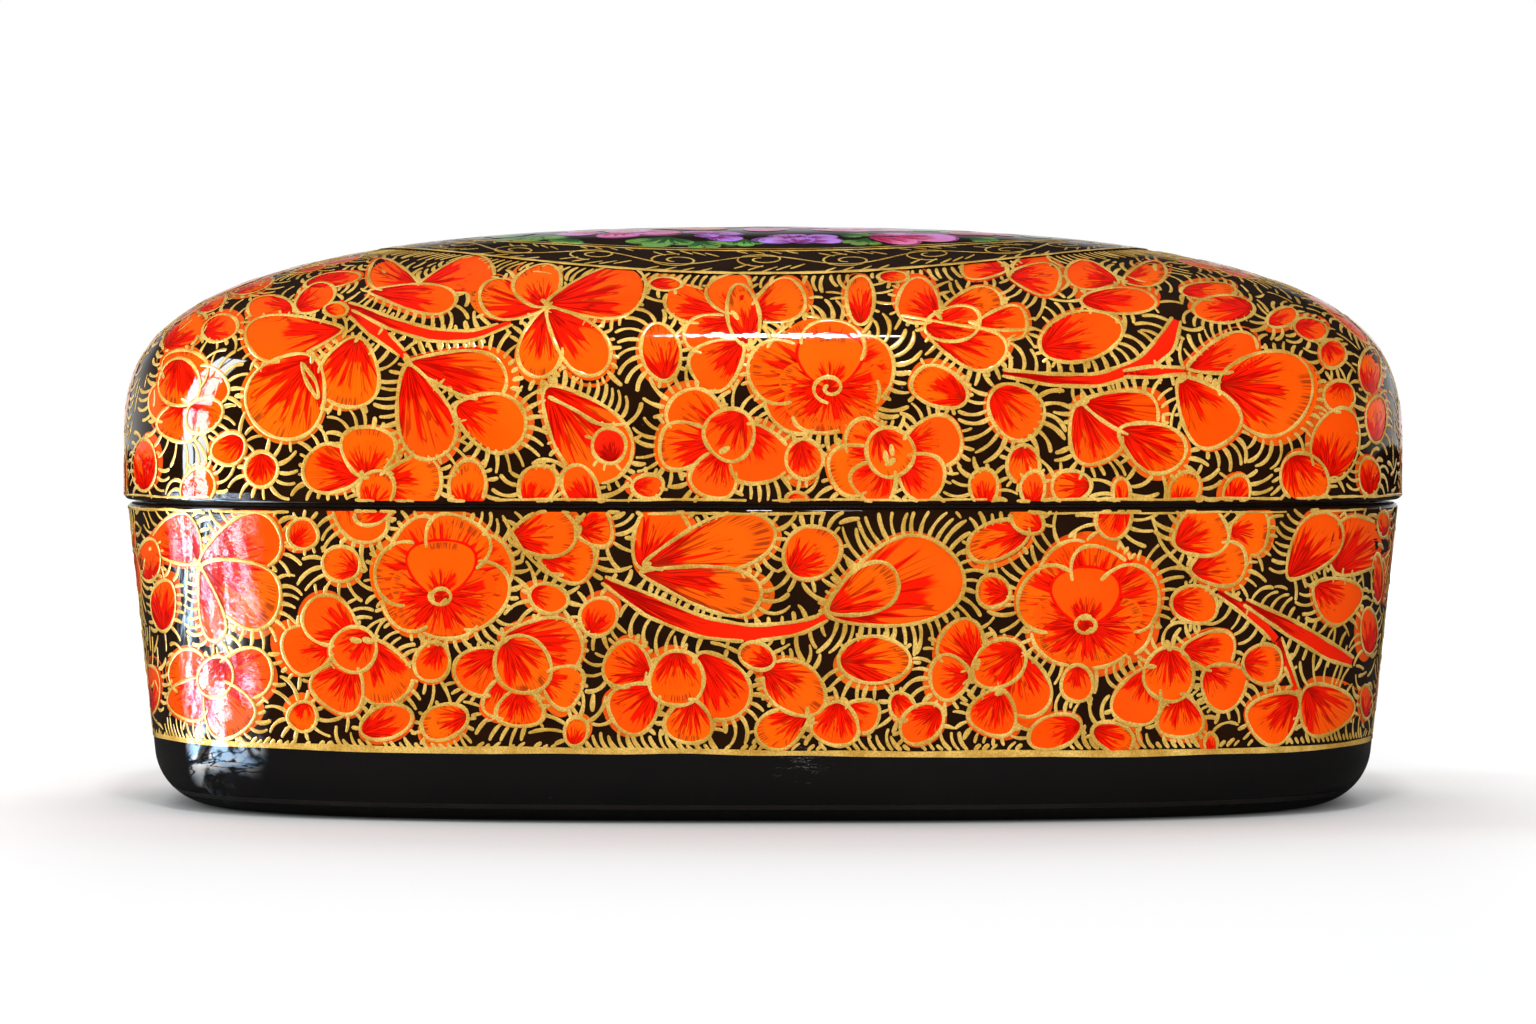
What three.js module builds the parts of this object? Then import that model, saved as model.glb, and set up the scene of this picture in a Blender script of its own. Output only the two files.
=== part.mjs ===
// A papier-mache trinket box with a lift-off lid: a tray-shaped base, a card lip and a domed lid.
// Millimetres, +Z up, X along the long side. The origin is the middle of the resting face.

import * as THREE from "three";
import { LoftGeometry } from "three/addons/geometries/LoftGeometry.js";

// Plan of the whole box, seen from above
const boxLength = 152;
const boxDepth = 100;
const planPower = 2.8; // 2 is an ellipse, and a larger number fills out the corners

// Base
const baseHeight = 35.8;
const baseInset = 0.4; // the rim stands this far inside the lid's wall
const wallLean = THREE.MathUtils.degToRad(6); // the wall leans outwards as it rises
const footRadius = 7;
const floorThickness = 3.2;

// Lid
const seatGap = 0.3; // between the two rims, with the lid on
const lidWallHeight = 4.4; // the straight wall between the rim and the dome
const domeRise = 27.8;
const domePlanPower = 2.45;
const domeRisePower = 3.4;

// Both shells are pressed on one mould, so they share a wall and a rounded rim
const wallThickness = 3;
const rimRadius = 0.6;

// Card lip, glued inside the base and standing proud of its rim
const lipThickness = 1.6;
const lipStand = 5.5;
const lipBond = 9;
const lipChamfer = 0.4;
const glueLine = 0.3;
const lipJoint = 0.6; // the open butt joint at the back

// How finely the curves are cut up
const outlineSteps = 80;
const domeSteps = 12;
const footSteps = 5;
const rimSteps = 3;
const innerCornerLeast = 1;
const crownShare = 0.12; // the dome ends in a small flat cap, this share of its plan

// Places that follow from the sizes above
const lidEdge = baseHeight + seatGap;
const domeFoot = lidEdge + lidWallHeight;
const backAngle = Math.PI / 2;

const baseMaterial = new THREE.MeshStandardMaterial({ color: 0xd9570f, roughness: 0.25, metalness: 0 });
const lidMaterial = new THREE.MeshStandardMaterial({ color: 0xe8600f, roughness: 0.25, metalness: 0 });
const lipMaterial = new THREE.MeshStandardMaterial({ color: 0x141210, roughness: 0.4, metalness: 0 });

// A point of the plan's outline, for an outline of these half sizes.
function outlinePoint(angle, halfLength, halfDepth, z) {
  const across = Math.abs(Math.cos(angle) / halfLength) ** planPower;
  const along = Math.abs(Math.sin(angle) / halfDepth) ** planPower;
  const reach = (across + along) ** (-1 / planPower);
  return new THREE.Vector3(reach * Math.cos(angle), reach * Math.sin(angle), z);
}

const outlineAngles = Array.from({ length: outlineSteps }, (_, i) => (i * 2 * Math.PI) / outlineSteps);

// A whole ring of the outline, moved in from the lid's wall by inset.
function insetRing([inset, z]) {
  return outlineAngles.map((angle) => outlinePoint(angle, boxLength / 2 - inset, boxDepth / 2 - inset, z));
}

// Points of an arc as [inset, z]. Angle 0 points outwards and a right angle points up.
function arc(inset, z, radius, from, to, steps) {
  return Array.from({ length: steps + 1 }, (_, i) => {
    const angle = from + ((to - from) * i) / steps;
    return [inset - radius * Math.cos(angle), z + radius * Math.sin(angle)];
  });
}

// The rounded edge of a rim, from its inner face to its outer face. Up is 1 or -1, the way that the rim faces.
function rimEdge(innerInset, outerInset, z, up) {
  const centre = z - up * rimRadius;
  const inner = arc(innerInset - rimRadius, centre, rimRadius, Math.PI, Math.PI / 2, rimSteps);
  const outer = arc(outerInset + rimRadius, centre, rimRadius, Math.PI / 2, 0, rimSteps);
  return [...inner, ...outer].map(([inset, height]) => [inset, centre + up * (height - centre)]);
}

const quarter = Math.PI / 2;
const outerWallInset = (z) => baseInset + (baseHeight - z) * Math.tan(wallLean);
const innerWallInset = (z) => outerWallInset(z) + wallThickness;

// The curve between a floor and the leaning wall that it meets, from the floor up.
function footCurve(wallInset, floor, radius) {
  const tangent = floor + radius * (1 - Math.sin(wallLean));
  const centre = wallInset(tangent) + radius * Math.cos(wallLean);
  return arc(centre, floor + radius, radius, -quarter, -wallLean, footSteps);
}

// One closed skin over rings that run from the middle of one flat face to the middle of the other.
function closedSkin(rings) {
  const indices = [];
  const lastRing = (rings.length - 1) * outlineSteps;
  rings.slice(1).forEach((_, row) => {
    const near = row * outlineSteps;
    const far = near + outlineSteps;
    for (let i = 0; i < outlineSteps; i++) {
      const next = (i + 1) % outlineSteps;
      indices.push(near + i, far + i, near + next, near + next, far + i, far + next);
    }
  });
  for (let i = 1; i < outlineSteps - 1; i++) {
    indices.push(0, i, i + 1, lastRing, lastRing + i + 1, lastRing + i);
  }
  return new THREE.BufferGeometry().setFromPoints(rings.flat()).setIndex(indices);
}

function baseShell() {
  const innerRadius = Math.max(footRadius - wallThickness, innerCornerLeast);
  const rimFoot = baseHeight - rimRadius;
  const profile = [
    ...footCurve(innerWallInset, floorThickness, innerRadius),
    ...rimEdge(innerWallInset(rimFoot), outerWallInset(rimFoot), baseHeight, 1),
    ...footCurve(outerWallInset, 0, footRadius).reverse(),
  ];
  return closedSkin(profile.map(insetRing));
}

// Rings of a dome from its foot to its crown, for a shell moved in by inset.
function domeRings(inset) {
  return Array.from({ length: domeSteps + 1 }, (_, i) => {
    const share = (i / domeSteps) ** 1.5; // more rings low down, where the wall turns in
    const swing = share * Math.acos(crownShare ** (domePlanPower / 2));
    const reach = Math.cos(swing) ** (2 / domePlanPower);
    const rise = (domeRise - inset) * Math.sin(swing) ** (2 / domeRisePower);
    return outlineAngles.map((angle) =>
      outlinePoint(angle, reach * (boxLength / 2 - inset), reach * (boxDepth / 2 - inset), domeFoot + rise),
    );
  });
}

function lidShell() {
  const edge = rimEdge(wallThickness, 0, lidEdge, -1).map(insetRing);
  return closedSkin([...domeRings(0).reverse(), ...edge.reverse(), ...domeRings(wallThickness)]);
}

// The strip's section is swept round the outline, from one side of the butt joint to the other.
function lipStrip() {
  const bottom = baseHeight - lipBond;
  const top = baseHeight + lipStand;
  const outer = innerWallInset(baseHeight) + glueLine;
  const lean = innerWallInset(bottom) - innerWallInset(baseHeight);
  const section = [
    [outer + lipThickness + lean, bottom],
    [outer + lipThickness, baseHeight],
    [outer + lipThickness, top - lipChamfer],
    [outer + lipThickness - lipChamfer, top],
    [outer + lipChamfer, top],
    [outer, top - lipChamfer],
    [outer, baseHeight],
    [outer + lean, bottom],
  ];
  const halfJoint = lipJoint / 2 / (boxDepth / 2 - outer);
  const start = backAngle + halfJoint;
  const end = backAngle - halfJoint + 2 * Math.PI;
  const turns = [...outlineAngles, ...outlineAngles.map((angle) => angle + 2 * Math.PI)];
  const angles = [start, ...turns.filter((angle) => angle > start && angle < end), end];
  const sections = angles.map((angle) =>
    section.map(([inset, z]) => outlinePoint(angle, boxLength / 2 - inset, boxDepth / 2 - inset, z)),
  );
  return new LoftGeometry(sections, { capStart: true, capEnd: true });
}

function piece(name, geometry, material) {
  const mesh = new THREE.Mesh(geometry, material);
  mesh.name = name;
  return mesh;
}

const box = new THREE.Group();
const base = new THREE.Group();
base.add(piece("base_shell", baseShell(), baseMaterial), piece("lip_strip", lipStrip(), lipMaterial));
const lid = new THREE.Group();
lid.add(piece("lid_shell", lidShell(), lidMaterial));
box.add(base, lid);

export default box;
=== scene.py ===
"""The looks of a papier-mache trinket box: painted flowers and gold lines under clear lacquer."""

import math
from dataclasses import dataclass, replace
from functools import partial

import bpy
import numpy as np
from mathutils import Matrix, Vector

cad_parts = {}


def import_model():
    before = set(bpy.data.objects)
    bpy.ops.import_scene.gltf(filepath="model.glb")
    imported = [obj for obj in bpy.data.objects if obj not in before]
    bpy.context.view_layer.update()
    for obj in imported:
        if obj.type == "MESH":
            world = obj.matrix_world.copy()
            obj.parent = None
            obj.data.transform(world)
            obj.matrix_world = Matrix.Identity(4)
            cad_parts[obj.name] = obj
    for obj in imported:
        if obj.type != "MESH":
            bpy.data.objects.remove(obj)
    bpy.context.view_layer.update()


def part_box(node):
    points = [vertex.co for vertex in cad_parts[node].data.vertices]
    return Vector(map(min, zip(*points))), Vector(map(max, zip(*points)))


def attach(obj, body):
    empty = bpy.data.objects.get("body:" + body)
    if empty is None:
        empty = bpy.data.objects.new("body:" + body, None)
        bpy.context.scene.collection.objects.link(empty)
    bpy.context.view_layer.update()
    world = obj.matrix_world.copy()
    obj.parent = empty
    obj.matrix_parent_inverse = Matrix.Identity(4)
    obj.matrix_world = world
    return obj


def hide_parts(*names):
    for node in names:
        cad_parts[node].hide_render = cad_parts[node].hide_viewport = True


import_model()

MM = 0.001
TAU = 2 * math.pi
draw = np.random.default_rng(7)


# Sizes in millimetres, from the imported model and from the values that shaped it

def corners(node):
    low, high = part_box(node)
    return np.array(low) / MM, np.array(high) / MM


LID_LOW, LID_HIGH = corners("lid_shell")
BASE_LOW, BASE_HIGH = corners("base_shell")
LIP_LOW, LIP_HIGH = corners("lip_strip")
HALF = LID_HIGH[:2]
LID_EDGE = LID_LOW[2]
BASE_RIM = BASE_HIGH[2]
BASE_INSET = 0.4
PLAN_POWER = 2.8
WALL = 3.0
FLOOR = 3.2
RIM_RADIUS = 0.6
FOOT_RADIUS = 7.0
INNER_FOOT_RADIUS = 4.0
LEAN = math.radians(6)
DOME_FOOT = LID_EDGE + 4.4
DOME_RISE = LID_HIGH[2] - DOME_FOOT
DOME_PLAN_POWER = 2.45
DOME_RISE_POWER = 3.4
LIP_THICKNESS = 1.6
LIP_ROUND = 0.4
LIP_JOINT = 0.6
GLUE_LINE = 0.3

# Painted borders
RIM_BLACK = 0.45  # the black edge that is left along both rims
BAND_LOW, BAND_HIGH = 7.8, 8.5  # the gold line round the foot
PANEL_POWER = 2.3
PANEL_OUTER = np.array([46.0, 39.9])  # half sizes of the black oval on the crown
PANEL_INNER = np.array([39.2, 33.0])

# Coats, as heights over the black ground
COAT = 0.03
NEXT_COAT = 0.0045
COATS = 14  # as many as may lie over each other
COAT_SLACK = 0.3  # petals this far apart still count as overlapping
OUTLINE_LOW, OUTLINE_CREST = 0.1, 0.13
HATCH_LOW, HATCH_CREST = 0.02, 0.06
PANEL_COAT = 0.15
PANEL_COATS = 3  # between one flower of the bouquet and the next

# The rough first coat under a petal, larger and a little beside it
MOST_ROUGH = 8  # of a flower's petals have one
ROUGH_SIZE = (1.03, 1.12)
ROUGH_SLIP = (0.15, 0.7)
PETAL_SEEDS = 16  # numbers that each motif keeps for its petals' shades

# Brush widths
OUTLINE_WIDTH = 0.42
HATCH_WIDTH = 0.43

# The strokes that hatch the black
HATCH_GAP = 0.94  # between the starts of two neighbours
HATCH_ROOM = 0.66  # that one takes for itself on either side
HATCH_STEP = 0.36
HATCH_STEPS, GAP_STEPS = (7, 12), (6, 11)
HATCH_TILT = (0.1, 0.45)  # radians off the way out of the edge
HATCH_BEND, GAP_BEND = (0.06, 0.16), (0.02, 0.12)  # radians to a step
SHORTEST = 3  # points of a stroke that is worth brushing
WAYS, PROBES, PROBE_STEP = 12, 8, 0.3  # for the room about a gap
CELL = 0.25  # of the grid that knows who owns each place
EDGE_ROOM, BODY_ROOM = 0.25, 0.5  # about the places where a petal claims its cells
BODY_FROM, BODY_STEP = 0.45, 0.8  # how far from the edge, and how far apart, those places are

# Places that are tried for motifs and for strokes
BASE_PLACES, LID_PLACES, BOUQUET_PLACES = 9000, 14000, 9000

# The photo's camera
PHOTO_WIDE, PHOTO_HIGH = 1536, 1024
CAMERA_AT = np.array([0.6, -730.0, 49.7])
CAMERA_DIP = math.radians(1.208)
LENS, SENSOR = 142.3, 36.0
FOCAL_PIXELS = LENS / SENSOR * PHOTO_WIDE
PIXELS = 8.8  # the photo's pixels in a millimetre of the box's front
SIGHT_STEPS, LEAST_FALL = 24, 1e-4  # for finding where a line of sight meets a surface

# How finely the curves are cut up
RING_POINTS = 600
RING_STEP = 1.1
EDGE_POINTS = 3.2  # of a petal, to a millimetre of its length and width
FILL_STEP = 0.75  # between the rings of a petal's colour
BORDER_SLACK = 0.03  # how near a border lines stop


def put(name, data):
    """A new object in the scene."""
    made = bpy.data.objects.new(name, data)
    bpy.context.scene.collection.objects.link(made)
    return made


def make_camera():
    camera = put("camera", bpy.data.cameras.new("camera"))
    camera.location = CAMERA_AT * MM
    camera.rotation_euler = (math.pi / 2 - CAMERA_DIP, 0, 0)
    camera.data.lens = LENS
    camera.data.sensor_width = SENSOR
    camera.data.clip_start = 0.01
    bpy.context.scene.camera = camera


make_camera()


# Outside surfaces

def outer_wall(z):
    """How far the base's leaning wall is inside the plan at this height."""
    return BASE_INSET + (BASE_RIM - z) * math.tan(LEAN)


def plan_sum(p, halves):
    return np.abs(p[:, 0] / halves[0]) ** PLAN_POWER + np.abs(p[:, 1] / halves[1]) ** PLAN_POWER


def unit(v):
    return v / np.maximum(np.linalg.norm(v, axis=-1, keepdims=True), 1e-9)


class Surface:
    """The painted outside of a shell. level() is 0 on it and positive outside."""

    def project(self, p, rounds=3):
        for _ in range(rounds):
            value, slope = self.level(p)
            p = p - slope * (value / (slope**2).sum(1))[:, None]
        return p

    def normal(self, p):
        return unit(self.level(p)[1])

    def trim(self, p):
        """Slides points that are past a painted border back to it."""
        z = np.clip(p[:, 2], self.low, self.high)
        moved = z != p[:, 2]
        if moved.any():
            p = p.copy()
            p[:, 2] = z
            share = plan_sum(p[moved], self.halves(z[moved])) ** (-1 / PLAN_POWER)
            p[moved, :2] *= share[:, None]
        return p

    def within(self, p):
        """Which points are clear of the borders that cut the flowers off."""
        return (p[:, 2] > self.low + BORDER_SLACK) & (p[:, 2] < self.high - BORDER_SLACK)


class Base(Surface):
    low, high = (BAND_LOW + BAND_HIGH) / 2, BASE_RIM - RIM_BLACK

    def halves(self, z):
        inset = outer_wall(z)
        return HALF[0] - inset, HALF[1] - inset

    def level(self, p):
        halves = self.halves(p[:, 2])
        total = np.maximum(plan_sum(p, halves), 1e-9)
        scale = total ** (1 / PLAN_POWER - 1)
        x, y = p[:, 0] / halves[0], p[:, 1] / halves[1]
        along_x = np.abs(x) ** (PLAN_POWER - 1) * np.sign(x) / halves[0]
        along_y = np.abs(y) ** (PLAN_POWER - 1) * np.sign(y) / halves[1]
        along_z = -(along_x * x + along_y * y) * math.tan(LEAN)
        slope = np.stack([along_x, along_y, along_z], 1) * scale[:, None]
        return total ** (1 / PLAN_POWER) - 1, slope

    def free(self, p):
        return (p[:, 2] > BAND_HIGH) & (p[:, 2] < self.high)


class Lid(Surface):
    low, high = LID_EDGE + RIM_BLACK, np.inf

    def halves(self, z):
        """The same at every height, as the lid's wall is upright."""
        return HALF

    def level(self, p):
        total = np.maximum(plan_sum(p, HALF), 1e-9)
        rise = np.clip((p[:, 2] - DOME_FOOT) / DOME_RISE, 0, None)
        value = total ** (DOME_PLAN_POWER / PLAN_POWER) + rise**DOME_RISE_POWER - 1
        scale = DOME_PLAN_POWER * total ** (DOME_PLAN_POWER / PLAN_POWER - 1)
        x, y = p[:, 0] / HALF[0], p[:, 1] / HALF[1]
        along_x = scale * np.abs(x) ** (PLAN_POWER - 1) * np.sign(x) / HALF[0]
        along_y = scale * np.abs(y) ** (PLAN_POWER - 1) * np.sign(y) / HALF[1]
        along_z = DOME_RISE_POWER * rise ** (DOME_RISE_POWER - 1) / DOME_RISE
        return value, np.stack([along_x, along_y, along_z], 1)

    def free(self, p):
        return (p[:, 2] > self.low) & (panel_share(p, PANEL_OUTER) > 1.005)


def panel_share(p, halves):
    """Below 1 inside an oval on the crown, and 1 on its edge."""
    return ((np.abs(p[:, :2]) / halves) ** PANEL_POWER).sum(1) ** (1 / PANEL_POWER)


def over_plan(flat):
    """The dome's points above these places of the plan."""
    reach = np.clip(plan_sum(flat, HALF) ** (1 / PLAN_POWER), 0, 1)
    z = DOME_FOOT + DOME_RISE * (1 - reach**DOME_PLAN_POWER) ** (1 / DOME_RISE_POWER)
    return np.column_stack([flat, z])


def turned(vectors, axes, angle):
    """Turns vectors about unit axes to which they are square."""
    angle = np.reshape(angle, (-1, 1))
    return vectors * np.cos(angle) + np.cross(axes, vectors) * np.sin(angle)


def tangents(surface, p, guide=(0, 0, 1)):
    """Right and up on the surface at each point, with up as near as it can be to guide."""
    out = surface.normal(p)
    guide = np.array(guide, float)
    up = unit(guide - out * (out @ guide)[:, None])
    return np.cross(up, out), up


def spread(surface, at, right, up, local):
    """Walks from one start over the surface by each (right, up) offset."""
    reach = np.linalg.norm(local, axis=1)
    steps = max(2, math.ceil(reach.max() / 2))
    heading = unit(local[:, :1] * right + local[:, 1:] * up)
    p = np.repeat(np.reshape(at, (1, 3)), len(local), 0)
    for _ in range(steps):
        p = surface.project(p + heading * (reach / steps)[:, None], 2)
        out = surface.normal(p)
        heading = unit(heading - out * (heading * out).sum(1)[:, None])
    return surface.trim(surface.project(p, 1))


def seen_at(surface, pixels):
    """Where the photo's pixels fall on the surface. Those beside it fall on its nearest place."""
    x, y = (np.reshape(pixels, (-1, 2)) - (PHOTO_WIDE / 2, PHOTO_HIGH / 2)).T / FOCAL_PIXELS
    cosine, sine = math.cos(CAMERA_DIP), math.sin(CAMERA_DIP)
    rays = unit(np.column_stack([x, cosine - y * sine, -y * cosine - sine]))
    away = (-HALF[1] - CAMERA_AT[1]) / rays[:, 1]
    for _ in range(SIGHT_STEPS):
        value, slope = surface.level(CAMERA_AT + rays * away[:, None])
        fall = -(slope * rays).sum(1)
        step = np.clip(value / np.maximum(fall, LEAST_FALL), -3, 6)
        away += np.where(fall > LEAST_FALL, step, 0)
    return surface.project(CAMERA_AT + rays * away[:, None], 4)


base_outside, lid_outside = Base(), Lid()


# Meshes

class Sheet:
    """Gathers points, faces and values of points, to become one mesh."""

    def __init__(self):
        self.points, self.normals, self.faces, self.finishes = [], [], [], []
        self.values = {}
        self.count = 0

    def add(self, points, faces, normals=None, **values):
        self.points.append(points)
        self.faces.append(np.asarray(faces) + self.count)
        self.finishes.append(np.zeros(len(faces), int))
        if normals is not None:
            self.normals.append(normals)
        for name, value in values.items():
            self.values.setdefault(name, []).append(np.broadcast_to(value, (len(points), 3)))
        self.count += len(points)

    def piece(self, name, body, slot, *materials):
        points, faces = np.concatenate(self.points), np.concatenate(self.faces)
        a, b, c = (points[faces[:, i]] for i in range(3))
        kept = np.linalg.norm(np.cross(b - a, c - a), axis=1) > 1e-5
        mesh = bpy.data.meshes.new(name)
        mesh.from_pydata((points * MM).tolist(), [], faces[kept].tolist())
        mesh.shade_smooth()
        for key, values in self.values.items():
            attribute = mesh.attributes.new(key, "FLOAT_VECTOR", "POINT")
            attribute.data.foreach_set("vector", np.concatenate(values).astype(np.float32).ravel())
        for material in materials:
            mesh.materials.append(material)
        finishes = np.concatenate(self.finishes)[kept].astype(np.int32)
        mesh.polygons.foreach_set("material_index", finishes)
        if self.normals:
            mesh.normals_split_custom_set_from_vertices(np.concatenate(self.normals).tolist())
        made = put(name, mesh)
        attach(made, body)
        return made


def grid_faces(rows, columns, wrap=False):
    """Triangles over rows of points, facing the viewer where rows run up and columns right."""
    lanes = columns if wrap else columns - 1
    row, column = np.meshgrid(np.arange(rows - 1), np.arange(lanes), indexing="ij")
    near, far = row * columns, (row + 1) * columns
    after = (column + 1) % columns
    corners_of = (near + column, near + after, far + after, far + column)
    a, b, c, d = (corner.ravel() for corner in corners_of)
    return np.concatenate([np.column_stack([a, b, c]), np.column_stack([a, c, d])])


def fan(first, count, hub, flipped=False):
    """Triangles from a closed ring of points to a hub."""
    column = np.arange(count)
    after = (column + 1) % count
    near, far = (after, column) if flipped else (column, after)
    return np.column_stack([first + near, first + far, np.full(count, hub)])


def plan_ring(halves, z):
    """A ring of the plan's outline, counterclockwise seen from above."""
    angle = np.arange(RING_POINTS) * TAU / RING_POINTS
    flat = np.column_stack([np.cos(angle), np.sin(angle)])
    reach = plan_sum(flat, halves) ** (-1 / PLAN_POWER)
    return np.column_stack([flat * reach[:, None], np.full(RING_POINTS, z)])


def inset_rings(profile):
    return [plan_ring(HALF - inset, z) for inset, z in profile]


def disc_rings(ring, shares):
    """Rings of a flat disc inside this ring."""
    return [ring * [share, share, 1] for share in shares]


def arc(inset, z, radius, start, end, steps=6):
    """Points of an arc as (inset, z). Angle 0 points outwards and a right angle points up."""
    angles = np.linspace(start, end, steps + 1)
    return [(inset - radius * math.cos(a), z + radius * math.sin(a)) for a in angles]


def rim_edge(inner, outer, z, up):
    """A rounded rim from its inner face to its outer face."""
    centre = z - up * RIM_RADIUS
    profile = arc(inner - RIM_RADIUS, centre, RIM_RADIUS, math.pi, math.pi / 2)
    profile += arc(outer + RIM_RADIUS, centre, RIM_RADIUS, math.pi / 2, 0)
    return [(inset, centre + up * (height - centre)) for inset, height in profile]


def inner_wall(z):
    return outer_wall(z) + WALL


def foot_curve(wall, floor, radius):
    """The curve between a floor and the leaning wall that it meets, from the floor up."""
    tangent = floor + radius * (1 - math.sin(LEAN))
    centre = wall(tangent) + radius * math.cos(LEAN)
    return arc(centre, floor + radius, radius, -math.pi / 2, -LEAN, 24)


def wall_rings(wall, low, high):
    heights = np.linspace(low, high, math.ceil(abs(high - low) / RING_STEP) + 1)[1:-1]
    return [(wall(z), z) for z in heights]


def dome_rings(inset):
    """Rings of a dome from its foot to its crown, evenly spaced over its curve."""
    swing = np.linspace(0, math.pi / 2, 4000)
    reach = np.cos(swing).clip(0) ** (2 / DOME_PLAN_POWER)
    rise = (DOME_RISE - inset) * np.sin(swing) ** (2 / DOME_RISE_POWER)
    steps = np.hypot(np.diff(reach) * HALF.mean(), np.diff(rise))
    length = np.concatenate([[0], np.cumsum(steps)])
    places = np.linspace(0, length[-1] - RING_STEP, math.ceil(length[-1] / RING_STEP))
    halves = HALF - inset
    shares, heights = np.interp(places, length, reach), np.interp(places, length, rise)
    return [plan_ring(halves * share, DOME_FOOT + height) for share, height in zip(shares, heights)]


def skin(rings, is_inner):
    """A closed skin over rings from the middle of one face to the middle of the other."""
    sheet = Sheet()
    hub = len(rings) * RING_POINTS
    caps = [fan(0, RING_POINTS, hub, True), fan(hub - RING_POINTS, RING_POINTS, hub + 1)]
    faces = np.concatenate([grid_faces(len(rings), RING_POINTS, True), *caps])
    points = np.vstack(rings + [rings[0].mean(0), rings[-1].mean(0)])
    sheet.add(points, faces)
    sheet.finishes[0] = is_inner(points[faces].mean(1)).astype(int)
    return sheet


def base_shell(lacquer, inner_lacquer):
    outer_foot = foot_curve(outer_wall, 0, FOOT_RADIUS)
    inner_foot = foot_curve(inner_wall, FLOOR, INNER_FOOT_RADIUS)[::-1]
    rim_foot = BASE_RIM - RIM_RADIUS
    profile = outer_foot + wall_rings(outer_wall, outer_foot[-1][1], rim_foot)
    profile += rim_edge(inner_wall(rim_foot), outer_wall(rim_foot), BASE_RIM, 1)[::-1]
    profile += wall_rings(inner_wall, rim_foot, inner_foot[0][1]) + inner_foot
    rings = inset_rings(profile)
    shares = (0.15, 0.4, 0.7, 0.97)
    rings = disc_rings(rings[0], shares) + rings + disc_rings(rings[-1], shares[::-1])

    def is_inner(p):
        middle = outer_wall(p[:, 2]) + WALL / 2
        return (plan_sum(p, (HALF[0] - middle, HALF[1] - middle)) < 1) & (p[:, 2] > FLOOR / 2)

    shell = skin(rings, is_inner).piece("base_box", "base", "painted_base", lacquer, inner_lacquer)
    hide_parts("base_shell")


def lid_shell(lacquer, inner_lacquer):
    edge = inset_rings(rim_edge(WALL, 0, LID_EDGE, -1))
    heights = np.linspace(LID_EDGE + RIM_RADIUS, DOME_FOOT, 5)[1:-1]
    walls = inset_rings([(0, z) for z in heights])
    inner_walls = inset_rings([(WALL, z) for z in heights[::-1]])
    rings = dome_rings(WALL)[::-1] + inner_walls + edge + walls + dome_rings(0)

    def is_inner(p):
        rise = np.clip((p[:, 2] - DOME_FOOT) / (DOME_RISE - WALL / 2), 0, None)
        reach = plan_sum(p, HALF - WALL / 2) ** (DOME_PLAN_POWER / PLAN_POWER)
        return reach + rise**DOME_RISE_POWER < 1

    shell = skin(rings, is_inner).piece("lid_box", "lid", "painted_lid", lacquer, inner_lacquer)
    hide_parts("lid_shell")


def lip(card):
    """The strip's section, swept round the outline from one side of the butt joint to the other."""
    low, top = LIP_LOW[2], LIP_HIGH[2]
    outer = inner_wall(BASE_RIM) + GLUE_LINE
    inner = outer + LIP_THICKNESS
    lean = inner_wall(low) - inner_wall(BASE_RIM)
    section = [(inner + lean, low), (inner, BASE_RIM)]
    section += arc(inner - LIP_ROUND, top - LIP_ROUND, LIP_ROUND, math.pi, math.pi / 2, 4)
    section += arc(outer + LIP_ROUND, top - LIP_ROUND, LIP_ROUND, math.pi / 2, 0, 4)
    section += [(outer, BASE_RIM), (outer + lean, low)]
    half_joint = LIP_JOINT / 2 / (HALF[1] - outer)
    angles = np.linspace(TAU / 4 + half_joint, TAU * 5 / 4 - half_joint, RING_POINTS)
    flat = np.column_stack([np.cos(angles), np.sin(angles)])
    columns = []
    for inset, z in section:
        reach = plan_sum(flat, HALF - inset) ** (-1 / PLAN_POWER)
        columns.append(np.column_stack([flat * reach[:, None], np.full(len(angles), z)]))
    count = len(section)
    points = np.stack(columns, 1).reshape(-1, 3)
    ends = [points[:count].mean(0), points[-count:].mean(0)]
    hub = len(points)
    caps = [fan(0, count, hub, True), fan(hub - count, count, hub + 1)]
    faces = np.concatenate([grid_faces(len(angles), count, True), *caps])
    sheet = Sheet()
    sheet.add(np.vstack([points, *ends]), faces)
    made = sheet.piece("card_lip", "base", "black_card", card)
    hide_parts("lip_strip")


# Brush marks, drawn flat first: x to the right and y upwards

@dataclass(frozen=True)
class Paint:
    """Linear colours: a flower's body, the rough first coat past its edges, and its heart."""
    ground: tuple
    under: tuple
    bloom: tuple


ORANGE = Paint((0.86, 0.077, 0.001), (0.66, 0.08, 0.003), (0.72, 0.004, 0.0005))
SCARLET = Paint((0.72, 0.012, 0.001), (0.45, 0.015, 0.002), (0.42, 0.002, 0.0005))


@dataclass
class Petal:
    """A patch of colour that runs from a root along a heading, where 0 points right."""
    edge: np.ndarray
    root: np.ndarray
    heading: float
    length: float
    paint: Paint
    reach: float  # the share of its length that the heart's colour takes


@dataclass
class Line:
    path: np.ndarray
    width: float
    colour: tuple = None  # gold if none is given


@dataclass
class Flower:
    """A flower in the photo's pixels. Petals are root, tip and width, in painting order. Ovals,
    such as a cup over them or a bud, are middle, half length, half width and heading in degrees.
    Lines are further gold lines."""
    petals: tuple = ()
    ovals: tuple = ()
    lines: tuple = ()
    paint: Paint = ORANGE


def rotated(points, angle):
    cosine, sine = math.cos(angle), math.sin(angle)
    return np.asarray(points) @ np.array([[cosine, sine], [-sine, cosine]])


def polar(angle, reach=1.0):
    return np.array([math.cos(angle), math.sin(angle)]) * reach


def heading_of(way):
    return math.atan2(way[1], way[0])


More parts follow.
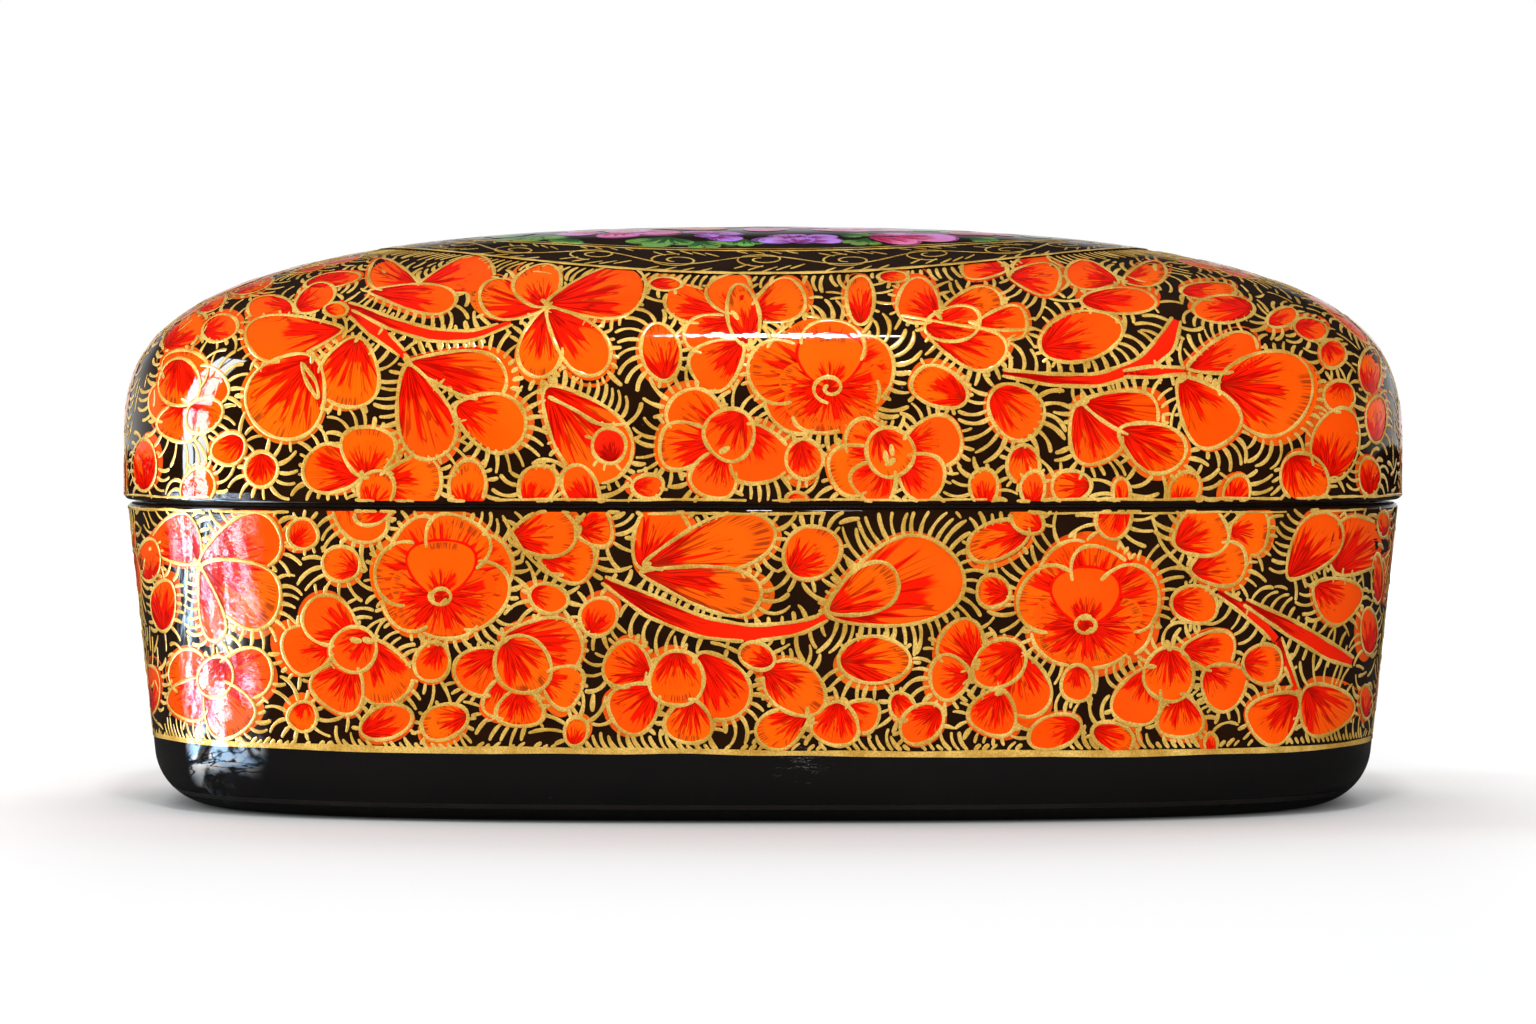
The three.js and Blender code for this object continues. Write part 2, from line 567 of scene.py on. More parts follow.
def lay(places, middle=(0, 0), scale=1.0, turn=0.0, mirror=1):
    """Moves places of the photo onto a flat sheet about this middle, with y upwards."""
    return rotated((np.reshape(places, (-1, 2)) - middle) * [mirror * scale, -scale], turn)


# A petal is the fuller beyond its middle, the longer it is for its width
EVEN_SHAPE, EVEN_FULLNESS, MORE_FULLNESS = 0.8, 0.26, 0.2
LEAST_FULLNESS, MOST_FULLNESS, OVAL_FULLNESS = 0.2, 0.6, 0.06
HEART_REACH, OVAL_HEART_REACH = (0.6, 0.92), (0.6, 0.85)
FEWEST_POINTS, MOST_POINTS = 18, 60
WOBBLES = ((2, 0.02), (3, 0.018))  # waves round a petal's edge, and their height


def petal(root, tip, width, millimetre, paint, fullness=None, reach=None):
    """A petal from its root to its tip. It is widest beyond its middle, by its fullness."""
    length, heading = float(np.linalg.norm(tip - root)), heading_of(tip - root)
    if fullness is None:
        fullness = EVEN_FULLNESS + MORE_FULLNESS * (length / width - EVEN_SHAPE)
        fullness = min(max(fullness, LEAST_FULLNESS), MOST_FULLNESS)
    if reach is None:
        reach = draw.uniform(*HEART_REACH)
    count = (length + width) / millimetre * EDGE_POINTS
    count = int(np.clip(count, FEWEST_POINTS, MOST_POINTS))
    t = np.arange(count) * TAU / count
    wobble = 1.0
    for waves, height in WOBBLES:
        wobble = wobble + height * np.sin(waves * t + draw.uniform(0, TAU))
    x = width / 2 * np.sin(t) * (1 - fullness * np.cos(t))
    y = length / 2 * (1 - np.cos(t))
    edge = rotated(np.column_stack([x, y]) * wobble[:, None], heading - TAU / 4) + root
    return Petal(edge, np.array(root, float), heading, length, paint, reach)


def oval(middle, long, wide, heading, millimetre, paint):
    """A bud or a cup: a nearly even oval whose heart starts from one end."""
    along = polar(heading, long)
    reach = draw.uniform(*OVAL_HEART_REACH)
    return petal(middle - along, middle + along, 2 * wide, millimetre, paint, OVAL_FULLNESS, reach)


def inside(points, polygon):
    """Whether each point is inside a closed polygon."""
    x, y = points[:, :1], points[:, 1:]
    x0, y0 = polygon.T
    x1, y1 = np.roll(polygon, -1, 0).T
    spans = (y0 > y) != (y1 > y)
    rise = np.where(y1 == y0, 1, y1 - y0)
    return (spans & (x < (x1 - x0) * (y - y0) / rise + x0)).sum(1) % 2 == 1


def runs(kept, least):
    """Stretches of true values, as slices."""
    edges = np.flatnonzero(np.diff(np.concatenate([[0], kept.astype(int), [0]])))
    return [slice(a, b) for a, b in zip(edges[::2], edges[1::2]) if b - a >= least]


def curve(points):
    """A smooth path through these points."""
    p = np.vstack([2 * points[0] - points[1], points, 2 * points[-1] - points[-2]])
    t = np.linspace(0, 1, 9)[:-1, None]
    parts = []
    for a, b, c, d in zip(p, p[1:], p[2:], p[3:]):
        bend = (2 * a - 5 * b + 4 * c - d) * t**2 + (3 * b - 3 * c + d - a) * t**3
        parts.append(b + ((c - a) * t + bend) / 2)
    return np.vstack(parts + [points[-1:]])


def spiral(middle, radius, turns, start, end=0.2):
    """A curl from this radius to this share of it, clockwise if turns is below 0."""
    t = np.linspace(0, 1, max(8, int(abs(turns) * 18)))
    angle = start + t * turns * TAU
    reach = radius * (1 - (1 - end) * t)
    return np.column_stack([np.cos(angle), 0.8 * np.sin(angle)]) * reach[:, None] + middle


OUTLINE_SLIP = (0.05, 0.35)  # how far off its colour an outline is put
OUTLINE_SIZE = (0.94, 1.015)
KNOT = ((-0.5, 0.2), (0, 0.05), (0.45, -0.15))
KNOT_SHARE, KNOT_WIDTH = 0.35, 1.5


class Motif:
    """Petals in painting order and the lines over them, on a flat sheet with its own scale."""

    def __init__(self, millimetre, line_width=OUTLINE_WIDTH, line_colour=None):
        self.petals, self.lines = [], []
        self.millimetre, self.line_width, self.line_colour = millimetre, line_width, line_colour

    def line(self, path, width=1.0):
        self.lines.append(Line(np.asarray(path, float), self.line_width * width, self.line_colour))

    def radius(self, shape):
        return np.linalg.norm(shape.edge - shape.edge.mean(0), axis=1).mean() / self.millimetre

    def outline(self, count=None):
        """Outlines the first petals, a little off their colour, where no later petal hides them."""
        slip = polar(draw.uniform(0, TAU), draw.uniform(*OUTLINE_SLIP) * self.millimetre)
        for number, shape in enumerate(self.petals[:count]):
            grown = (shape.edge - shape.root) * draw.uniform(*OUTLINE_SIZE) + shape.root + slip
            closed = np.vstack([grown, grown[:3]])
            shown = np.ones(len(closed), bool)
            for later in self.petals[number + 1:]:
                shown &= ~inside(closed, later.edge + slip)
            shown[2:] |= shown[:-2].copy()
            for run in runs(shown, 5):
                self.line(closed[run])

    def knots(self):
        """Blobs of gold where lines meet at a root."""
        for shape in self.petals:
            if draw.random() < KNOT_SHARE:
                blob = rotated(KNOT, draw.uniform(0, TAU)) * self.millimetre
                self.line(shape.root + blob, KNOT_WIDTH)

    def contour(self):
        """Places along the outer edge, a hatching gap apart, and the way out from each."""
        gap = HATCH_GAP * self.millimetre
        places, ways = [], []
        for number, shape in enumerate(self.petals):
            step = np.roll(shape.edge, -1, 0) - np.roll(shape.edge, 1, 0)
            way = unit(np.column_stack([step[:, 1], -step[:, 0]]))
            both = np.hstack([shape.edge, way])
            both = np.vstack([both, both[:1]])
            ticks = path_length(both[:, :2])
            spots = np.arange(draw.uniform(0, gap), ticks[-1], gap)
            found = np.column_stack([np.interp(spots, ticks, part) for part in both.T])
            at, out = found[:, :2], found[:, 2:]
            free = np.ones(len(at), bool)
            for other in self.petals[:number] + self.petals[number + 1:]:
                free &= ~inside(at + out * 0.3 * self.millimetre, other.edge)
            places.append(at[free])
            ways.append(out[free])
        return np.concatenate(places), np.concatenate(ways)


def painted(flower, millimetre, paint=None, middle=(0, 0), scale=1.0, turn=0.0, mirror=1, **style):
    """A flower's brush marks, laid on the flat sheet."""
    motif = Motif(millimetre, **style)
    paint = paint or flower.paint
    for *ends, width in flower.petals:
        root, tip = lay(ends, middle, scale, turn, mirror)
        motif.petals.append(petal(root, tip, width * scale, millimetre, paint))
    for x, y, long, wide, heading in flower.ovals:
        heading = math.radians(heading if mirror > 0 else 180 - heading) + turn
        at = lay((x, y), middle, scale, turn, mirror)[0]
        motif.petals.append(oval(at, long * scale, wide * scale, heading, millimetre, paint))
    motif.outline()
    for line in flower.lines:
        motif.line(curve(lay(line, middle, scale, turn, mirror)))
    if flower.petals:
        motif.knots()
    return motif


# A rosette
OUTER_PETALS = 7
OUTER_TURN, OUTER_LENGTH, OUTER_WIDTH = (0.2, 0.5), (0.97, 1.03), (0.95, 1.05)
OUTER_FULLNESS, OUTER_HEART, INNER_FULLNESS = 0.25, 0.9, 0.3
CUP_LINE = 0.3  # width of the red line round the last petal

# Its inner petals: heading in degrees, then length and width as shares of the flower's radius,
# and how far the heart reaches
INNER_PETALS = (
    (270, 0.58, 0.42, 0.8), (240, 0.62, 0.46, 0.9), (300, 0.62, 0.46, 0.9), (165, 0.8, 0.48, 0.85),
    (15, 0.84, 0.48, 0.85), (205, 0.74, 0.5, 0.95), (335, 0.78, 0.5, 0.95), (90, 0.84, 1.0, 0.5),
)

# Its curl, or the ring with a blob that the others have instead
CURL = (0.29, -1.35, -1.7)  # radius as a share, turns and start
RING = (0.17, 1.15, 0.75)  # radius as a share, turns and the share of it that is left at the end
RING_BLOB, BLOB_WIDTH = ((0, -0.9), (0.35, -0.7), (0.6, -0.4)), 1.3


def rosette(middle, half, ring, millimetre, curl, turn=0.0, paint=ORANGE, **style):
    """A wide flower from straight above: scalloped petals, and smaller ones about a gold ring."""
    motif = Motif(millimetre, **style)
    radius = np.mean(half)
    for number in draw.permutation(OUTER_PETALS):
        heading = (number + draw.uniform(*OUTER_TURN)) * TAU / OUTER_PETALS + turn
        tip = middle + polar(heading) * half * draw.uniform(*OUTER_LENGTH)
        width = radius * draw.uniform(*OUTER_WIDTH)
        made = petal(middle, tip, width, millimetre, paint, OUTER_FULLNESS, OUTER_HEART)
        motif.petals.append(made)
    for heading, length, width, reach in INNER_PETALS:
        tip = ring + polar(math.radians(heading) + turn) * radius * length
        made = petal(ring, tip, width * radius, millimetre, paint, INNER_FULLNESS, reach)
        motif.petals.append(made)
    motif.outline(OUTER_PETALS)
    motif.lines.append(Line(motif.petals[-1].edge[3:-3], CUP_LINE, paint.bloom))
    if curl:
        share, turns, start = CURL
        motif.line(spiral(ring, share * radius, turns, start))
    else:
        share, turns, end = RING
        motif.line(spiral(ring, share * radius, turns, draw.uniform(0, TAU), end))
        motif.line(ring + rotated(RING_BLOB, turn) * millimetre, BLOB_WIDTH)
    return motif


# Painting on a shell

PLAIN_STROKE = (0, 3, 0.5)  # the stroke value of a place outside any heart
COLOUR_LINE_LOW, COLOUR_LINE_CREST = 0.012, 0.03  # how much lower coloured lines are than gold ones
BRUSH_ENDS, BRUSH_TIPS = 0.3, (0.3, 0.25)  # length and widths, as shares of the line's width
LEAST_SWELL = 0.8
LINE_ROUND = 0.35  # how far the sides of a line seem to lean outwards
HATCH_ENDS = 0.35


class Shell:
    """Everything that is painted on one shell."""

    def __init__(self, surface, low, high):
        self.surface = surface
        self.flowers, self.gold, self.hatching = Sheet(), Sheet(), Sheet()
        self.rooms = np.zeros((0, 5))  # middle, radius and top coat
        self.seeds, self.strokes = [], []
        self.number, self.brushed = 0, 0
        self.low = low - 2
        size = np.ceil((high - low + 4) / CELL).astype(int)
        self.owner = np.zeros(size, np.int32)  # a stroke's number, or a flower's below 0

    def mark(self, p, radius, owner):
        """Gives the cells about points to an owner. Flowers take any, strokes only free ones."""
        reach = int(radius / CELL)
        steps = np.arange(-reach, reach + 1)
        ball = np.stack(np.meshgrid(steps, steps, steps), -1).reshape(-1, 3)
        ball = ball[(ball**2).sum(1) <= (radius / CELL) ** 2]
        flat = self.cells(((p - self.low) / CELL).astype(int)[:, None] + ball)
        owners = np.repeat(np.broadcast_to(owner, len(p)), len(ball))
        view = self.owner.reshape(-1)
        taken = (view[flat] == 0) | (owners < 0)
        view[flat[taken]] = owners[taken]

    def cells(self, places):
        return np.ravel_multi_index(places.reshape(-1, 3).T, self.owner.shape, mode="clip")

    def owners(self, p):
        return self.owner.reshape(-1)[self.cells(((p - self.low) / CELL).astype(int))]

    def add_rooms(self, p, radii, top):
        self.rooms = np.vstack([self.rooms, np.column_stack([p, radii, np.full(len(p), top)])])

    def free_coat(self, p, radii, count):
        """The lowest coat over the flowers that this one overlaps."""
        top = 0
        for place, radius in zip(p, radii):
            away = np.linalg.norm(self.rooms[:, :3] - place, axis=1)
            near = away < self.rooms[:, 3] + radius + COAT_SLACK
            top = max(top, self.rooms[near, 4].max(initial=0))
        return int(min(top, COATS - count))

    def fill(self, sheet, walk, shape, height, seed, radius, ground, bloom):
        """Lays a petal's colour as rings about its middle."""
        middle = shape.edge.mean(0)
        rings = int(np.clip(radius / FILL_STEP, 2, 7))
        shares = np.arange(rings, 0, -1) / rings
        flat = np.vstack([(shape.edge - middle) * share + middle for share in shares] + [middle])
        count = len(shape.edge)
        hub = len(flat) - 1
        faces = np.concatenate([grid_faces(rings, count, True), fan(hub - count, count, hub)])
        own = rotated(flat - shape.root, TAU / 4 - shape.heading) / (shape.length * shape.reach)
        nearness = np.append(np.repeat(shares, count), 0) * 0.9
        stroke = np.column_stack([own[:, 0], own[:, 1], seed + nearness])
        p = walk(flat)
        out = self.surface.normal(p)
        sheet.add(p + out * height, faces, out, stroke=stroke, ground=ground, bloom=bloom)

    def place(self, motif, walk, flowers=None, gold=None, lift=0.0):
        """Paints a motif where walk takes its flat places. Its lines and hatching come later."""
        flowers, gold = flowers or self.flowers, gold or self.gold
        self.number += 1
        middles = walk(np.array([shape.edge.mean(0) for shape in motif.petals]))
        radii = [motif.radius(shape) for shape in motif.petals]
        if lift == 0:
            first_coat = self.free_coat(middles, radii, len(radii))
        else:
            first_coat = PANEL_COATS * (self.number % 3)
        self.add_rooms(middles, radii, first_coat + len(radii))
        for number, (shape, radius) in enumerate(zip(motif.petals, radii)):
            seed = self.number * PETAL_SEEDS + number
            height = lift + COAT + NEXT_COAT * (first_coat + number)
            middle = shape.edge.mean(0)
            slip = polar(draw.uniform(0, TAU), draw.uniform(*ROUGH_SLIP) * motif.millimetre)
            edge = (shape.edge - middle) * draw.uniform(*ROUGH_SIZE) + middle + slip
            rough = replace(shape, edge=edge, reach=0.1)
            under, ground, bloom = shape.paint.under, shape.paint.ground, shape.paint.bloom
            if number < MOST_ROUGH:
                self.fill(flowers, walk, rough, lift + COAT / 2, seed, radius / 2, under, under)
            self.fill(flowers, walk, shape, height, seed, radius, ground, bloom)
            self.mark(walk(shape.edge), EDGE_ROOM, -self.number)
            for share in np.arange(1 - BODY_FROM / radius, 0, -BODY_STEP / radius):
                self.mark(walk((shape.edge - middle) * share + middle), BODY_ROOM, -self.number)
        self.keep_lines(motif, walk, flowers, gold, lift)
        places, ways = motif.contour()
        if lift == 0 and len(places):
            starts, ahead = walk(places), walk(places + ways * 0.5 * motif.millimetre)
            self.seeds.append((starts, unit(ahead - starts), self.number))

    def keep_lines(self, motif, walk, flowers, gold, lift):
        for line in motif.lines:
            sheet, values = gold, {}
            low, crest = lift + OUTLINE_LOW, lift + OUTLINE_CREST
            if line.colour is not None:
                sheet = flowers
                values = {"stroke": PLAIN_STROKE, "ground": line.colour, "bloom": line.colour}
                low, crest = low - COLOUR_LINE_LOW, crest - COLOUR_LINE_CREST
            path = walk(line.path)
            self.strokes.append((sheet, path, line.width, low, crest, self.number, values))

    def ink(self):
        """Brushes the lines, each as far as no later flower covers it and no border cuts it off."""
        for sheet, path, width, low, crest, number, values in self.strokes:
            shown = (self.owners(path) >= -number) & self.surface.within(path)
            for run in runs(shown, SHORTEST):
                self.brush(sheet, path[run], width, low, crest, **values)
        self.strokes = []

    def brush(self, sheet, path, width, low, crest, ends=0.5, **values):
        """Lays one brush line over a path on the surface. It swells and dies like a brush's."""
        if np.ptp(path, axis=0).max() < 0.05:
            return
        steps = np.linalg.norm(np.diff(path, axis=0), axis=1)
        along = unit(np.gradient(path, axis=0))
        start = path[0] - along[0] * width * BRUSH_ENDS
        end = path[-1] + along[-1] * width * BRUSH_ENDS
        path = np.vstack([start, path, end])
        along = np.vstack([along[0], along, along[-1]])
        length = np.concatenate([[0], np.cumsum(steps)])
        swell = 1 + 0.16 * np.sin(length * 1.1 + draw.uniform(0, TAU))
        swell += 0.1 * np.sin(length * 2.7)
        swell *= np.clip(LEAST_SWELL + np.minimum(length, length[-1] - length) * ends, 0, 1)
        half = np.concatenate([[BRUSH_TIPS[0]], swell, [BRUSH_TIPS[1]]])[:, None] * width / 2
        out = self.surface.normal(path)
        side = unit(np.cross(out, along))
        left, right = path + side * half + out * low, path - side * half + out * low
        points = np.stack([left, path + out * crest, right], 1)
        tilt = LINE_ROUND * side
        normals = np.stack([unit(out + tilt), out, unit(out - tilt)], 1)
        sheet.add(points.reshape(-1, 3), grid_faces(len(path), 3), normals.reshape(-1, 3), **values)

    def grow(self, starts, headings, bends, steps, number):
        """Grows strokes from all starts at once, each until it touches something."""
        owners = self.brushed + 1 + np.arange(len(starts))
        self.brushed += len(starts)
        found = self.owners(starts)
        alive = (found == 0) | (found == -number)
        p, heading = starts.copy(), headings.copy()
        paths, lengths = [p], np.ones(len(starts), int)
        self.mark(p[alive], HATCH_ROOM, owners[alive])
        for step in range(1, int(steps.max()) + 1):
            out = self.surface.normal(p)
            heading = turned(unit(heading - out * (heading * out).sum(1)[:, None]), out, bends)
            ahead = self.surface.project(p + heading * HATCH_STEP, 2)
            found = self.owners(ahead)
            clear = (found == 0) | (found == owners)
            if step <= 2:
                clear |= found == -number
            alive &= (step <= steps) & self.surface.free(ahead)
            p = np.where(alive[:, None], ahead, p)
            lengths += alive
            paths.append(p)
            alive &= clear
            self.mark(p[alive], HATCH_ROOM, owners[alive])
        for path, length in zip(np.stack(paths, 1), lengths):
            if length >= SHORTEST:
                width = HATCH_WIDTH * draw.uniform(0.85, 1.2)
                path = path[:length]
                self.brush(self.hatching, path, width, HATCH_LOW, HATCH_CREST, HATCH_ENDS)

    def hatch(self):
        """Covers the black between the motifs with short bowed strokes, borders first."""
        order = sorted(draw.permutation(len(self.seeds)), key=lambda i: self.seeds[i][2] > 0)
        for starts, headings, number in [self.seeds[i] for i in order]:
            sway = draw.choice([-1, 1])
            count = len(starts)
            tilt = sway * draw.uniform(*HATCH_TILT) + draw.uniform(-0.1, 0.1, count)
            headings = turned(headings, self.surface.normal(starts), tilt)
            bends = -sway * draw.uniform(*HATCH_BEND) + draw.uniform(-0.03, 0.03, count)
            steps = draw.integers(*HATCH_STEPS) + draw.integers(-2, 2, count)
            self.grow(starts, headings, bends, steps, number)

    def fill_gaps(self, places):
        """Adds strokes where the black is still wide, each the way that has the most room."""
        angle = np.arange(WAYS)[:, None] * TAU / WAYS
        steps = np.arange(1, PROBES + 1)[:, None] * PROBE_STEP
        for group in np.array_split(places, max(1, len(places) // 50)):
            group = group[self.surface.free(group) & (self.owners(group) == 0)]
            right, up = tangents(self.surface, group)
            ways = right[:, None] * np.cos(angle) + up[:, None] * np.sin(angle)
            probes = group[:, None, None] + ways[:, :, None] * steps
            clear = self.owners(probes.reshape(-1, 3)).reshape(probes.shape[:3]) == 0
            kept = clear[:, ::2, 0].all(1)
            if not kept.any():
                continue
            run = np.cumprod(clear[kept], axis=2).sum(2)
            best = (run + np.roll(run, WAYS // 2, axis=1)).argmax(1)
            row = np.arange(len(best))
            heading = ways[kept][row, best]
            back = run[row, (best + WAYS // 2) % WAYS][:, None]
            starts = self.surface.project(group[kept] - heading * PROBE_STEP * back)
            bends = draw.choice([-1, 1]) * draw.uniform(*GAP_BEND, len(best))
            self.grow(starts, heading, bends, draw.integers(*GAP_STEPS, len(best)), 0)


# The front's motifs, in the photo's pixels and in painting order.
# Rosettes: middle, half sizes, middle of the ring. Buds: ovals, as in a flower.
# Stems: places and widths.

LID_ROSETTES = [((822, 378), (73, 57), (830, 388))]
LID_FLOWERS = [
    Flower(
        petals=((362, 476, 307, 464, 48), (366, 478, 371, 427, 54), (376, 484, 444, 480, 46)),
        ovals=((377, 490, 21, 18, 70),),
    ),
    Flower(
        petals=((342, 330, 244, 344, 42), (358, 338, 340, 408, 60), (313, 358, 262, 431, 80)),
        lines=(((302, 363), (306, 380), (318, 398), (316, 382), (303, 364)),),
    ),
    Flower(petals=((407, 360, 513, 378, 44), (456, 404, 524, 430, 56), (408, 362, 437, 454, 52))),
    Flower(petals=(
        (544, 308, 477, 296, 40), (544, 308, 530, 267, 50), (546, 310, 534, 379, 44),
        (546, 310, 606, 373, 46), (546, 304, 643, 289, 46),
    )),
    Flower(
        petals=((547, 387, 622, 474, 68),),
        lines=(((549, 397), (575, 410), (600, 424), (629, 424)),),
    ),
    Flower(ovals=((607, 446, 18, 17, 110),), paint=SCARLET),
    Flower(
        petals=(
            (735, 316, 669, 296, 34), (737, 312, 726, 275, 44), (752, 314, 807, 290, 42),
            (739, 320, 686, 342, 38), (744, 341, 697, 381, 46),
        ),
        ovals=((745, 314, 31, 17, 100),),
    ),
    Flower(
        petals=(
            (728, 436, 670, 398, 50), (720, 440, 653, 448, 46), (724, 450, 703, 498, 48),
            (744, 424, 770, 484, 60),
        ),
        ovals=((728, 434, 27, 26, 235),),
    ),
    Flower(
        petals=(
            (892, 450, 843, 432, 44), (886, 456, 828, 480, 52), (890, 462, 861, 497, 44),
            (903, 444, 963, 438, 52), (900, 460, 940, 489, 48),
        ),
        ovals=((890, 452, 26, 25, 300),),
    ),
    Flower(
        petals=(
            (938, 316, 899, 286, 46), (940, 310, 1000, 297, 32), (974, 324, 1031, 319, 32),
            (930, 334, 1006, 355, 40),
        ),
        ovals=((953, 322, 29, 17, 10),),
        lines=(((902, 316), (925, 320), (990, 330), (1034, 330)),),
    ),
    Flower(petals=((1079, 403, 1108, 466, 50), (1084, 402, 1165, 420, 42), (1120, 430, 1185, 463, 50))),
    Flower(petals=((1189, 370, 1260, 346, 36), (1220, 384, 1313, 404, 88), (1181, 380, 1232, 446, 52))),
    Flower(ovals=((1338, 394, 16, 16, 250), (1334, 443, 36, 24, 80), (1303, 476, 27, 23, 300))),
    Flower(
        petals=(
            (188, 398, 223, 374, 44), (186, 396, 182, 348, 46), (184, 400, 148, 402, 38),
            (186, 402, 170, 439, 42), (190, 402, 213, 425, 40),
        ),
        ovals=((178, 382, 25, 21, 270),),
    ),
]
LID_CROWN_FLOWERS = [
    Flower(petals=((1008, 272, 961, 268, 24), (1012, 270, 1050, 262, 22), (1008, 278, 1063, 284, 30))),
    Flower(
        petals=((1118, 281, 1066, 270, 28), (1122, 280, 1165, 269, 24)),
        ovals=((1120, 300, 40, 14, 0),),
    ),
    Flower(ovals=((1206, 290, 28, 9, 0), (1222, 308, 30, 14, 180))),
    Flower(ovals=((1281, 318, 17, 10, 20), (1309, 330, 18, 11, 340), (1331, 355, 15, 14, 300))),
    Flower(ovals=((334, 279, 29, 8, 10), (271, 308, 24, 14, 180), (316, 297, 23, 13, 30))),
    Flower(petals=((418, 285, 364, 270, 30), (418, 286, 492, 270, 32), (368, 292, 455, 303, 26))),
    Flower(ovals=((186, 330, 27, 14, 40), (222, 326, 19, 14, 20))),
    Flower(ovals=((250, 287, 22, 7, 15), (212, 303, 18, 8, 30))),
]
LID_BUDS = [
    (660, 352, 30, 20, 100), (803, 460, 21, 19, 280), (937, 387, 31, 20, 155),
    (1013, 410, 31, 25, 315), (1080, 338, 41, 25, 15), (861, 298, 25, 14, 90),
    (666, 284, 17, 7, 0), (335, 310, 12, 7, 0), (231, 450, 19, 16, 225), (262, 471, 18, 17, 270),
    (197, 487, 20, 17, 60), (146, 466, 26, 13, 90), (470, 488, 26, 18, 85),
    (538, 488, 22, 18, 60), (581, 487, 26, 17, 120), (646, 486, 16, 12, 0),
    (1022, 465, 20, 17, 270), (1069, 488, 21, 16, 185), (1033, 491, 18, 12, 90),
    (1123, 495, 17, 9, 90), (985, 489, 19, 14, 90), (796, 497, 10, 7, 0), (1187, 491, 20, 15, 60),
    (1236, 490, 18, 14, 70), (1369, 371, 24, 12, 90), (1375, 418, 25, 11, 90),
    (1369, 474, 20, 11, 90), (893, 276, 15, 6, 0),
]
LID_STEMS = [
    [((338, 302), 6), ((375, 330), 13), ((406, 357), 3)],
    [((347, 305), 4), ((390, 324), 10), ((432, 336), 11), ((473, 337), 8), ((511, 323), 3)],
    [
        ((1003, 373), 3), ((1050, 380), 8), ((1098, 381), 9), ((1142, 366), 11), ((1166, 345), 17),
        ((1176, 320), 6),
    ],
    [((1124, 374), 3), ((1152, 372), 8), ((1184, 371), 3)],
]
BASE_ROSETTES = [
    ((442, 578), (72, 62), (441, 596)),
    ((1090, 604), (73, 63), (1086, 625)),
]
BASE_FLOWERS = [
    Flower(petals=(
        (200, 564, 283, 530, 56), (202, 566, 277, 612, 58), (198, 562, 159, 521, 48),
        (200, 568, 219, 646, 22),
    )),
    Flower(
        petals=(
            (212, 676, 171, 668, 46), (210, 680, 176, 718, 42), (214, 676, 274, 672, 48),
            (212, 680, 244, 736, 48),
        ),
        ovals=((217, 678, 22, 18, 250),),
    ),
    Flower(
        petals=(
            (334, 646, 279, 654, 50), (356, 640, 304, 606, 50), (368, 640, 392, 702, 52),
            (352, 664, 324, 709, 54),
        ),
        ovals=((352, 650, 24, 24, 225),),
    ),
    Flower(
        petals=(
            (500, 640, 582, 652, 54), (498, 652, 461, 690, 48), (505, 676, 500, 724, 42),
            (541, 678, 579, 696, 42), (519, 690, 517, 729, 46),
        ),
        ovals=((520, 666, 30, 28, 300),),
    ),
    Flower(
        petals=(
            (651, 673, 606, 655, 48), (657, 686, 615, 723, 48), (699, 652, 738, 714, 56),
            (692, 698, 686, 743, 48),
        ),
        ovals=((677, 677, 28, 27, 270),),
    ),
    Flower(
        petals=((808, 712, 759, 738, 38), (846, 704, 878, 722, 32), (839, 700, 831, 744, 48)),
        ovals=((794, 686, 34, 26, 330),),
    ),
    Flower(
        petals=((542, 558, 598, 564, 42), (579, 531, 616, 525, 38), (512, 538, 577, 530, 46)),
        lines=(((503, 516), (520, 546), (545, 571), (563, 575)),),
    ),
    Flower(petals=((641, 568, 686, 513, 62), (646, 566, 771, 532, 50), (643, 574, 765, 600, 40))),
    Flower(petals=((824, 613, 957, 561, 82), (826, 611, 895, 574, 46))),
    Flower(
        petals=(
            (978, 664, 942, 629, 52), (968, 676, 928, 681, 46), (1016, 654, 1031, 720, 50),
            (1000, 692, 984, 736, 48),
        ),
        ovals=((998, 665, 28, 23, 215),),
    ),
    Flower(
        petals=((1230, 531, 1269, 536, 46), (1190, 572, 1249, 562, 44), (1174, 546, 1228, 522, 52)),
        lines=(((1152, 517), (1164, 548), (1196, 579)),),
    ),
    Flower(
        petals=(
            (1181, 648, 1237, 650, 40), (1150, 666, 1127, 723, 46), (1204, 668, 1240, 699, 48),
            (1180, 692, 1179, 739, 46),
        ),
        ovals=((1168, 673, 28, 25, 270),),
    ),
    Flower(petals=((1334, 572, 1376, 523, 54), (1288, 578, 1337, 515, 46), (1314, 584, 1357, 613, 46))),
    Flower(petals=((1297, 694, 1251, 737, 48), (1306, 686, 1341, 729, 54))),
    Flower(ovals=((360, 512, 34, 25, 300), (374, 512, 20, 12, 200))),
    Flower(ovals=((999, 542, 34, 19, 200), (1029, 522, 18, 13, 150))),
    Flower(ovals=((388, 724, 28, 17, 20), (445, 724, 25, 18, 200))),
    Flower(ovals=((901, 709, 16, 13, 300), (921, 725, 24, 18, 220))),
    Flower(ovals=((1054, 732, 28, 17, 200), (1113, 737, 23, 15, 340))),
    Flower(ovals=((150, 560, 22, 12, 90), (164, 604, 28, 13, 90))),
]
